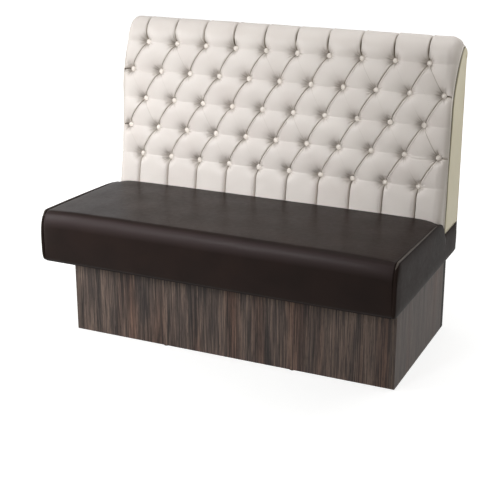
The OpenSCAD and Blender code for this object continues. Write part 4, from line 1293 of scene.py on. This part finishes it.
    def button_piece(self) -> Piece:
        """Models one covered button and copies it to all its places.

        Returns:
            The piece with all the buttons.
        """
        bpy.ops.object.select_all(action="DESELECT")
        bpy.ops.mesh.primitive_cylinder_add(vertices=24, radius=self.button_width / 2, depth=0.0022,
                                            location=(0, 0, 0.0011))
        button = bpy.context.object
        bpy.ops.object.mode_set(mode="EDIT")
        bpy.ops.mesh.select_mode(type="FACE")
        for width, rise in ((0.0016, 0.0013), (0.0022, 0.0011), (0.0026, 0.0006)):
            pick_faces(button, up=True)
            bpy.ops.mesh.inset(thickness=width)
            bpy.ops.transform.translate(value=(0, 0, rise))
        pick_faces(button, up=True)
        bpy.ops.mesh.poke()
        pick_faces(button, up=False)
        bpy.ops.mesh.inset(thickness=0.0035)
        bpy.ops.transform.translate(value=(0, 0, -0.0042))
        bpy.ops.mesh.inset(thickness=0.003)
        bpy.ops.mesh.poke()
        bpy.ops.object.mode_set(mode="OBJECT")
        rounding = button.modifiers.new("Wrapped edge", "SUBSURF")
        rounding.levels = rounding.render_levels = 1
        bpy.ops.object.modifier_apply(modifier=rounding.name)
        bpy.ops.object.shade_smooth()
        random = np.random.default_rng(11)
        heading = math.radians(self.lines.base.heading)
        out = Vector((0, -math.sin(heading), math.cos(heading)))
        bpy.ops.object.select_all(action="DESELECT")
        copies = []
        for bp, bq in self.buttons:
            y, z = self.lines.base.places(np.array(self.low_row_t + bq * self.row_step), 0.0)
            copy = button.copy()
            copy.data = button.data.copy()
            tip, roll = random.normal(0, 0.05, 2)
            copy.rotation_euler = (heading + tip, roll, 0)
            copy.location = (Vector((-self.field_half + bp * self.half_pitch, y, z))
                             + out * (self.button_seat + random.normal(0, 0.0005)))
            bpy.context.collection.objects.link(copy)
            copy.select_set(True)
            copies.append(copy)
        bpy.data.objects.remove(button)
        bpy.context.view_layer.objects.active = copies[0]
        bpy.ops.object.join()
        bpy.ops.object.transform_apply(location=True, rotation=True, scale=True)
        piece = bpy.context.object
        piece.name = "back_covered_buttons"
        return piece

    def end_cover_piece(self, side: int) -> Piece:
        """Builds a padded end cover, whose front edge swells towards the seam at the top.

        Args:
            side: 1 for the right end, -1 for the left end.

        Returns:
            The piece.
        """
        lines = self.lines
        low_z = lines.deck_z + GAP
        # A thin tongue runs in beside the seam, a slot parts it from the padded face
        tongue, slot, inner = 0.004, 0.0078, self.inner_x
        t = np.concatenate([np.linspace(float(lines.seam_t(low_z)), 0, 50)[:-1],
                            np.linspace(0, lines.seam_length, 50)])
        front = lines.seam.places(t, -tongue)
        front[0, 1] = low_z
        part = (t - t[0]) / (t[-1] - t[0])
        rear = np.stack([np.full_like(t, lines.rear_y), low_z + part * (lines.edge_z - low_z)], -1)
        width = np.linalg.norm(rear - front, axis=1)[:, None]
        near = np.array([[0, 0.4, 0.8, 0.95, 1.0, 1.06, 1.14, 1.25, 1.4, 1.6]]) * slot / np.maximum(width, 0.03)
        far = np.concatenate([np.linspace(0, 0.9, 16)[1:], [0.94, 0.97, 0.99, 1]])
        steps = np.concatenate([near, near[:, -1:] + (1 - near[:, -1:]) * far], 1)
        yz = front[:, None, :] + (rear - front)[:, None, :] * steps[..., None]
        from_front, from_rear = np.maximum(steps * width - slot, 0), (1 - steps) * width
        upper = smooth_step(yz[:, :1, 1], 0.45, 0.93)
        swell = (0.0022 * upper * (from_front > 0)
                 * np.clip(1 - from_front / (0.004 + 0.022 * upper), 0, 1) ** 0.8)
        edge = np.clip(np.minimum(from_front / 0.0030, (from_rear + 0.001) / 0.004), 0, 1)
        rounded = np.sqrt(np.clip(1 - (1 - edge) ** 2, 0, 1))
        x = (inner + GAP + (self.half_length - inner - GAP) * rounded + swell
             + 0.0006 * ripple(yz[..., 0], yz[..., 1], 0.08, 21))
        piece = end_pad("back_{}_end_pad", side, np.concatenate([x[..., None], yz], -1), inner)
        # Painted shade in the slot beside the seam
        slotted = np.clip(1 - from_front / 0.0022, 0, 1)
        store(piece, "fold", np.tile(slotted.ravel(), 2)[:, None])
        return piece

    def welt_piece(self, side: int) -> Piece:
        """Builds the sewn welt that follows the end seam.

        Args:
            side: 1 for the right end, -1 for the left end.

        Returns:
            The piece.
        """
        lines = self.lines
        t = np.linspace(float(lines.seam_t(lines.deck_z + 0.003)), lines.seam_length - 0.001, 420)
        h = lines.seam.headings(t)
        stitch = 1 - 0.10 * np.abs(np.sin(np.pi * t / 0.0055))
        return end_tube("back_{}_seam_welt", side, np.full_like(t, self.half_length - self.edge_inset + 0.0004),
                        lines.seam.places(t, -0.0014), np.stack([-np.sin(h), np.cos(h)], -1),
                        0.0024 * stitch, 0.0026 * stitch)

    def build(self) -> None:
        """Builds and hands over every piece of the back's upholstery."""
        hand_over(self.cover_piece(), BACK_LEATHER, ("back_tufted_cover", "back_foam"))
        hand_over(self.button_piece(), BUTTON_LEATHER, ("back_buttons",))
        for side, name in SIDES.items():
            hand_over(self.end_cover_piece(side), BACK_SIDE_LEATHER,
                      (f"back_{name}_cover",))
            hand_over(self.welt_piece(side), BUTTON_LEATHER, (f"back_{name}_welt",))
        rear = taut_panel("back_rear_covering",
                          (-self.half_length, self.lines.rear_y + GAP, self.lines.deck_z + GAP),
                          (self.half_length, self.rear_face_y, self.lines.edge_z - self.rear_cover), 31)
        hand_over(rear, BACK_SIDE_LEATHER, ("back_rear_cover",))


# ---------------------------------------------------------------- seat

@dataclass
class PaddedSeat:
    """The seat's stuffed cushion, its end covers, turned seams, rear covering and dust cloth."""

    wood_half: float = WOOD_HALF
    half_length: float = HALF_LENGTH
    front_y: float = SEAT_FRONT_Y
    frame_front_y: float = FRAME_FRONT_Y
    cloth_end_y: float = CLOTH_REAR_Y
    back_y: float = 0.13987
    hem_z: float = HEM_Z
    frame_z: float = FRAME_Z
    board_z: float = BOARD_Z
    deck_z: float = DECK_Z
    hem_end_y: float = CLOTH_FRONT_Y - GAP
    front_rise: float = 0.0685
    fall: float = 0.0135
    top_crown: float = 0.0125
    front_crown: float = 0.013
    end_crown: float = 0.008
    end_rim: float = 0.034
    edge_depth: float = 0.032
    edge_height: float = 0.058
    under_radius: float = 0.016
    rear_radius: float = 0.006
    slope_y: float = 0.176
    rear_y: float = REAR_Y
    rear_face_y: float = REAR_FACE_Y
    cloth_width: float = 0.1124
    seam_x: float = 0.5975

    def top_z(self, u: float, crown: float) -> float:
        """Height of the seat's top at a share u of its depth and a share of its crown."""
        return self.deck_z + self.front_rise - self.fall * u + crown * self.top_crown * (1 - 0.4 * u)

    def corner_drop(self, y: float) -> float:
        """How far the rear corners of the seat are pulled down, at a place across it."""
        return 0.007 * min(1.0, max(0.0, (y - 0.060) / 0.080)) ** 2

    def section(self, s: float) -> np.ndarray:
        """Outline of the cushion across the seat, from the hem over the top to the board.

        Args:
            s: share of the half length, -1 at the left end and 1 at the right end.

        Returns:
            Y and Z of the outline's points.
        """
        crown = math.sqrt(max(0.0, 1 - abs(s) ** 6))
        x = s * self.wood_half
        under = arc((self.front_y + self.under_radius, self.hem_z + self.under_radius),
                    (self.under_radius, self.under_radius), range(270, 179, -15))
        z0, z1 = self.hem_z + self.under_radius, self.top_z(0, crown) - self.edge_height
        ridge = self.front_y + self.edge_depth - crown * self.front_crown
        face = [[self.front_y - crown * self.front_crown * math.sin(v * math.pi / 2) ** 0.9,
                 z0 + (z1 - z0) * v] for v in np.linspace(0, 1, 19)[1:-1]]
        edge = arc((ridge, z1), (self.edge_depth, self.edge_height), range(180, 89, -6))
        near_end = math.exp(-((self.wood_half - abs(x)) / 0.028) ** 2)
        top = []
        for u in np.linspace(0, 1, 48)[1:]:
            y = ridge + (self.back_y - self.rear_radius - ridge) * u
            top.append([y, self.top_z(u, crown) - near_end * self.corner_drop(y)])
        rear_z = top[-1][1]
        rear = arc((self.back_y - self.rear_radius, rear_z - self.rear_radius),
                   (self.rear_radius, self.rear_radius), (67.5, 45, 22.5, 0))
        down = [[self.back_y, rear_z + (self.board_z + 0.0006 - rear_z) * v] for v in (0.4, 0.7, 1.0)]
        inner = [[self.frame_front_y - GAP, self.board_z + GAP],
                 [self.frame_front_y - GAP, self.frame_z - GAP], [self.hem_end_y, self.frame_z - GAP]]
        outer = np.array([[self.hem_end_y, self.hem_z]] + under + face + edge + top + rear + down)
        # The tight cover carries slight pulls across its front and top
        along = outer[:, 0] + outer[:, 1]
        pull = 0.0005 * ripple(np.full(len(outer), x), along, 0.09, 41)
        gather = 0.0006 * math.exp(-(self.wood_half - abs(x)) / 0.05) * np.sin(along / 0.0032)
        moved = np.clip((outer[:, 1] - self.hem_z) / 0.03, 0, 1) * np.clip((self.back_y - outer[:, 0]) / 0.02, 0, 1)
        outer[:, 1] += (pull + gather) * moved
        return np.concatenate([outer, inner])

    def cushion_piece(self) -> Piece:
        """Builds the stuffed seat as one closed form.

        Returns:
            The piece.
        """
        s = np.sin(np.linspace(-np.pi / 2, np.pi / 2, 111))
        rings = [self.section(float(v)) for v in s]
        count = len(rings[0])
        points = np.array([[v * self.wood_half, y, z] for v, ring in zip(s, rings) for y, z in ring])
        faces = grid_faces(len(s), count, closed=True)
        faces += [tuple(range(count)), tuple(range((len(s) - 1) * count, len(s) * count))]
        return new_piece("seat_cushion", points, faces)

    def end_outline(self) -> np.ndarray:
        """Upper outline of an end cover, from its rear end to the front corner.

        Returns:
            Y, Z and the share of the swell, one row each.
        """
        level_z = self.deck_z - GAP
        level = [[y, level_z, min(1.0, (self.rear_y - y) / 0.03)]
                 for y in np.linspace(self.rear_y, self.slope_y, 14)]
        rise = self.front_rise - self.fall + GAP - self.corner_drop(self.back_y)
        drop = self.slope_y - self.back_y
        slope = [[self.slope_y - drop * (1 - math.cos(math.radians(a))) ** 0.9,
                  level_z + rise * math.sin(math.radians(a)) ** 1.1, 1.0] for a in range(10, 91, 10)]
        ridge_y = self.front_y + self.edge_depth
        top = [[y, self.deck_z + self.front_rise - self.fall * (y - ridge_y) / (self.back_y - ridge_y)
                - self.corner_drop(y), 1.0] for y in np.linspace(self.back_y, ridge_y, 40)[1:]]
        corner_z = self.deck_z + self.front_rise - self.edge_height
        turns = range(98, 181, 7)
        corner = [[y, z, 1 - 0.4 * (turn - 90) / 90] for turn, (y, z) in
                  zip(turns, arc((ridge_y, corner_z), (self.edge_depth, self.edge_height), turns))]
        return np.array(level + slope + top + corner + [[self.front_y, corner_z, 0.6]])

    def end_cover_piece(self, side: int) -> Piece:
        """Builds a padded end cover.

        Args:
            side: 1 for the right end, -1 for the left end.

        Returns:
            The piece.
        """
        stations = self.end_outline()
        v = (1 - np.cos(np.linspace(0, np.pi, 19))) / 2
        radius = self.under_radius
        depth = np.clip((stations[:, 0] - self.front_y), 0, radius)
        low = (self.hem_z + radius - np.sqrt(radius ** 2 - (radius - depth) ** 2))[:, None]
        z = low + (stations[:, 1:2] - low) * v
        y = np.repeat(stations[:, :1], len(v), axis=1)
        rim = np.clip(np.minimum(z - low, stations[:, 1:2] - z) / self.end_rim, 0, 1)
        swell = np.sqrt(np.clip(1 - (1 - rim) ** 2, 0, 1)) * stations[:, 2:3]
        x = self.half_length + self.end_crown * swell + 0.0004 * ripple(y, z, 0.07, 51) * np.sin(np.pi * v)
        return end_pad("seat_{}_end_pad", side, np.stack([x, y, z], -1), self.wood_half + GAP)

    def seam_piece(self, side: int) -> Piece:
        """Builds the raised turned seam along the top edge and the front corner of an end.

        Args:
            side: 1 for the right end, -1 for the left end.

        Returns:
            The piece.
        """
        outline = self.end_outline()
        start = int(np.argmin(np.abs(outline[:, 0] - self.back_y)
                              + np.abs(outline[:, 1] - self.top_z(1, 0) + self.corner_drop(self.back_y))))
        run = outline[start:, :2]
        corner_z = run[-1, 1]
        down = [[self.front_y, z] for z in np.linspace(corner_z - 0.004, self.hem_z + self.under_radius, 24)]
        corner = np.concatenate([run, down])
        length = np.concatenate([[0], np.cumsum(np.linalg.norm(np.diff(corner, axis=0), axis=1))])
        t = np.linspace(0.002, length[-1], 460)
        yz = np.stack([np.interp(t, length, corner[:, 0]), np.interp(t, length, corner[:, 1])], -1)
        way = np.gradient(yz, axis=0)
        way /= np.linalg.norm(way, axis=1)[:, None]
        out = np.stack([way[:, 1], -way[:, 0]], -1)
        # Down the front corner and at the rear the seam sinks between the two covers
        lift = (0.0012 - 0.0032 * smooth_step(-yz[:, 1], -corner_z - 0.055, -corner_z - 0.038)
                - 0.0012 * smooth_step(yz[:, 0], self.back_y - 0.05, self.back_y - 0.01))
        stitch = 1 - 0.12 * np.abs(np.sin(np.pi * t / 0.006))
        thin = stitch * (0.62 + 209 * np.maximum(lift + 0.0004, 0))
        return end_tube("seat_{}_turned_seam", side, self.seam_x + lift, yz + out * lift[:, None], out,
                        0.0033 * thin, 0.0028 * thin)

    def dust_cloth_piece(self) -> Piece:
        """Builds the cloth stretched under the front of the seat frame, with a slight sag.

        Returns:
            The piece.
        """
        low_y = self.hem_end_y + GAP
        gx, gy = np.meshgrid(np.linspace(-self.wood_half, self.wood_half, 61),
                             np.linspace(low_y, self.cloth_end_y, 13))
        part = (gy - low_y) / (self.cloth_end_y - low_y)
        sag = 0.0012 * np.sin(np.pi * part) * (1 - (np.abs(gx) / self.wood_half) ** 8)
        points = np.stack([gx, gy, self.frame_z - 0.0004 - sag], -1).reshape(-1, 3)
        cloth = new_piece("seat_dust_cloth_sheet", points, grid_faces(13, 61))
        wall = cloth.modifiers.new("Cloth thickness", "SOLIDIFY")
        wall.thickness = 0.0005
        bpy.context.view_layer.objects.active = cloth
        bpy.ops.object.modifier_apply(modifier=wall.name)
        return cloth

    def build(self) -> None:
        """Builds and hands over every piece of the seat's upholstery."""
        hand_over(self.cushion_piece(), SEAT_LEATHER, ("seat_cover", "seat_foam"))
        for side, name in SIDES.items():
            hand_over(self.end_cover_piece(side), SEAT_END_LEATHER, (f"seat_{name}_cover",))
            hand_over(self.seam_piece(side), SEAT_SEAM_LEATHER, (f"seat_{name}_welt",))
        rear = taut_panel("seat_rear_covering", (-self.half_length, self.rear_y + GAP, self.hem_z),
                          (self.half_length, self.rear_face_y, self.deck_z - GAP), 61)
        hand_over(rear, SEAT_LEATHER, ("seat_rear_cover",))
        cloth = self.dust_cloth_piece()
        hand_over(cloth, DUST_CLOTH, ("seat_dust_cloth",))


# ---------------------------------------------------------------- frame and plinth

PINE, BEECH, PLY = ("dfc297", "c9a470"), ("cda778", "b98f5e"), ("d4b687", "bd9a69")

# Finishes of the plinth and of the frame inside, whose solids keep their own shape
RIGID_FINISHES: dict[Finish, tuple[str, ...]] = {
    # Polyethylene of the nail-in glides: black and waxy, with a faint flow mottle
    Mottled("Moulded polyethylene, black", "1c1c1c", 0.003, (0.4, 0.6)): ("plinth_glides",),
    # Printed laminates of the plinth: dull dark wood grain that runs upright, plainer on the edge bands
    WoodgrainLaminate("Melamine woodgrain, dark grey-brown front", ("241f1d", "3c3431", "5d4f48", "76665c"), 1.25,
                      warm=0.8, joints_at=PLINTH_JOINT_X): ("plinth_front_panel",),
    WoodgrainLaminate("Melamine edge band, dark grey-brown", ("322b28", "433a36", "594c45", "67594f")):
        ("plinth_edge_bands",),
    WoodgrainLaminate("Melamine woodgrain, grey-brown end", ("38322f", "4a423e", "5c524d", "6a5f59"), 1.15,
                      0.006, 0.6, gloss=0.15): ("plinth_left_panel", "plinth_right_panel"),
    # The rear panel's print is so dark that its grain hardly shows
    WoodgrainLaminate("Melamine, near-black rear", ("1c1917", "221f1d", "292523", "2d2927"), 0.8, gloss=0.05):
        ("plinth_rear_panel",),
    # Raw board of the partition: flakes in several browns
    PressedChips("Raw chipboard", ("7c6c52", "8f7a5f", "a48d6c")): ("plinth_partition",),
    # Beech battens, blocks and dowels: warm brown, close grain lines along each piece
    SawnTimber("Planed beech, along the bench", *BEECH, Grain.ALONG_X, 0.004):
        ("plinth_front_batten", "plinth_rear_batten", "plinth_dowels"),
    SawnTimber("Planed beech, across the bench", *BEECH, Grain.ALONG_Y, 0.004):
        ("plinth_left_batten", "plinth_right_batten"),
    SawnTimber("Planed beech, upright", *BEECH, Grain.ALONG_Z, 0.004):
        ("plinth_corner_blocks", "seat_corner_blocks"),
    # Pine rails of the seat frame and the back: yellow, wider grain lines along each piece
    SawnTimber("Planed pine, along the bench", *PINE, Grain.ALONG_X):
        ("seat_front_rail", "seat_middle_rail", "seat_rear_rail", "back_lower_front_rail",
         "back_lower_rear_rail", "back_middle_rail", "back_top_board"),
    SawnTimber("Planed pine, across the bench", *PINE, Grain.ALONG_Y):
        ("seat_left_rail", "seat_right_rail", "seat_front_left_cross_rail", "seat_front_right_cross_rail",
         "seat_rear_left_cross_rail", "seat_rear_right_cross_rail"),
    # Birch plywood of the board, the tuft board, the cheeks and the ribs: pale, broad soft grain
    SawnTimber("Birch plywood, along the bench", *PLY, Grain.ALONG_X, 0.01):
        ("seat_board", "back_tuft_board", "back_rear_panel"),
    SawnTimber("Birch plywood, upright", *PLY, Grain.ALONG_Z, 0.01):
        ("back_left_cheek", "back_right_cheek", "back_left_rib", "back_right_rib"),
    # Zinc plate of screws, washers and anchors: a grey metal with a faintly blotched polish
    Mottled("Zinc-plated steel", "a9a9a6", 0.004, (0.28, 0.48), 1.0):
        ("plinth_batten_screws", "seat_fixing_screws", "seat_frame_screws", "back_frame_screws",
         "back_coach_screws", "back_washers", "back_button_anchors"),
    # Twisted twine behind the buttons: off-white and dull
    WovenCloth("Twisted button twine", "e8e4da", 0.0008): ("back_button_twines",),
}


@dataclass
class RigidPieces:
    """Plinth and inner frame: the CAD solids that keep their own shape and get their finishes here."""

    nodes_by_finish: dict[Finish, tuple[str, ...]] = field(default_factory=lambda: RIGID_FINISHES)

    def build(self) -> None:
        """Gives every rigid node its material."""
        for finish, nodes in self.nodes_by_finish.items():
            material = finish.material()
            for node in nodes:
                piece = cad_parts[node]
                if not piece.material_slots:
                    piece.data.materials.append(material)
                for slot in piece.material_slots:
                    slot.material = material
                log.info("%s: %s", node, finish.name)


# ---------------------------------------------------------------- studio

@dataclass(frozen=True)
class Softbox:
    """A rectangular studio lamp: where it hangs and aims, its size, its watts and its grid's angle."""

    name: str
    place: Place
    aim: Place
    size: tuple[float, float]
    power: float
    spread: float = 180

    def hang(self) -> None:
        """Hangs the lamp."""
        data = bpy.data.lights.new(self.name, "AREA")
        data.spread = math.radians(self.spread)
        data.shape = "RECTANGLE"
        data.size, data.size_y = self.size
        data.energy = self.power
        lamp = bpy.data.objects.new(self.name, data)
        lamp.location = self.place
        lamp.rotation_euler = (Vector(self.aim) - Vector(self.place)).to_track_quat("-Z", "Y").to_euler()
        bpy.context.collection.objects.link(lamp)


@dataclass
class Studio:
    """A pale floor under soft studio light, and the camera at the photograph's angle."""

    lamps: tuple[Softbox, ...] = (
        Softbox("Key softbox", (-2.8, -2.0, 1.8), (-0.2, 0, 0.6), (1.3, 1.3), 48),
        Softbox("Front strip softbox", (-1.05, -3.2, 1.95), (-0.5, 0, 0.5), (1.3, 0.6), 5.0, 42),
        Softbox("Side softbox", (1.45, 0.55, 2.2), (0.6, 0.25, 0.9), (0.9, 0.9), 10.5),
        Softbox("Top softbox", (-0.2, 0.2, 3.4), (0, 0.1, 0.5), (2.4, 2.4), 13))
    camera_place: Place = (1.4765, -3.2335, 1.5757)
    yaw: float = 0.4302
    pitch: float = 0.3201
    focal_pixels: float = 1132.4
    shift_y: float = -0.05
    frame_pixels: int = 500

    def build(self) -> None:
        """Builds the floor, the lamps, the world and the camera."""
        self.floor()
        for lamp in self.lamps:
            lamp.hang()
        self.world()
        self.camera()
        bpy.context.scene.view_settings.view_transform = "Standard"

    def floor(self) -> None:
        """Lays a wide pale floor that the camera sees as white where nothing shades it."""
        bpy.ops.object.select_all(action="DESELECT")
        bpy.ops.mesh.primitive_plane_add(size=60, location=(0, 0, 0))
        plane = bpy.context.object
        plane.name = "studio_floor"
        # Pale matt paint, and a thinner coat with a white glow for the rays that show it
        material = bpy.data.materials.new("Studio floor, pale matt")
        tree = empty_tree(material)
        matt = add_node(tree, "BsdfDiffuse", {"Color": linear("dcdad7")})[0]
        thin = add_node(tree, "BsdfDiffuse", {"Color": linear("b4b4b4")})[0]
        reach = add_node(tree, "VectorMath", {0: add_node(tree, "TexCoord")["Object"]}, operation="LENGTH")
        lit = add_node(tree, "MapRange", {"Value": reach["Value"], "From Min": 0.6, "From Max": 1.8,
                                          "To Min": 0.76})[0]
        glow = add_node(tree, "Emission", {"Color": (1, 1, 1, 1), "Strength": lit})[0]
        pale = add_node(tree, "AddShader", {0: thin, 1: glow})[0]
        mixed = add_node(tree, "MixShader", {0: seen_sharp(tree), 1: matt, 2: pale})[0]
        add_node(tree, "OutputMaterial", {"Surface": mixed})
        plane.data.materials.append(material)

    def world(self) -> None:
        """Surrounds the scene with even, slightly warm light that the camera sees as white."""
        world = bpy.data.worlds.new("Studio")
        tree = empty_tree(world)
        even = add_node(tree, "Background", {"Color": (1, 0.985, 0.925, 1), "Strength": 0.31})[0]
        white = add_node(tree, "Background", {"Color": (1, 1, 1, 1), "Strength": 1.0})[0]
        mixed = add_node(tree, "MixShader", {0: seen_sharp(tree), 1: even, 2: white})[0]
        add_node(tree, "OutputWorld", {"Surface": mixed})
        bpy.context.scene.world = world

    def camera(self) -> None:
        """Sets the camera up."""
        data = bpy.data.cameras.new("Camera")
        data.sensor_width = 36.0
        data.lens = self.focal_pixels / self.frame_pixels * data.sensor_width
        data.shift_y = self.shift_y
        camera = bpy.data.objects.new("Camera", data)
        camera.location = self.camera_place
        camera.rotation_euler = (math.pi / 2 - self.pitch, 0, self.yaw)
        bpy.context.collection.objects.link(camera)
        bpy.context.scene.camera = camera


def main() -> None:
    """Dresses the bench and sets the studio up."""
    logging.basicConfig(level=logging.INFO, format="%(message)s")
    Studio().build()
    RigidPieces().build()
    PaddedSeat().build()
    ButtonedBack().build()


if __name__ == "__main__":
    main()
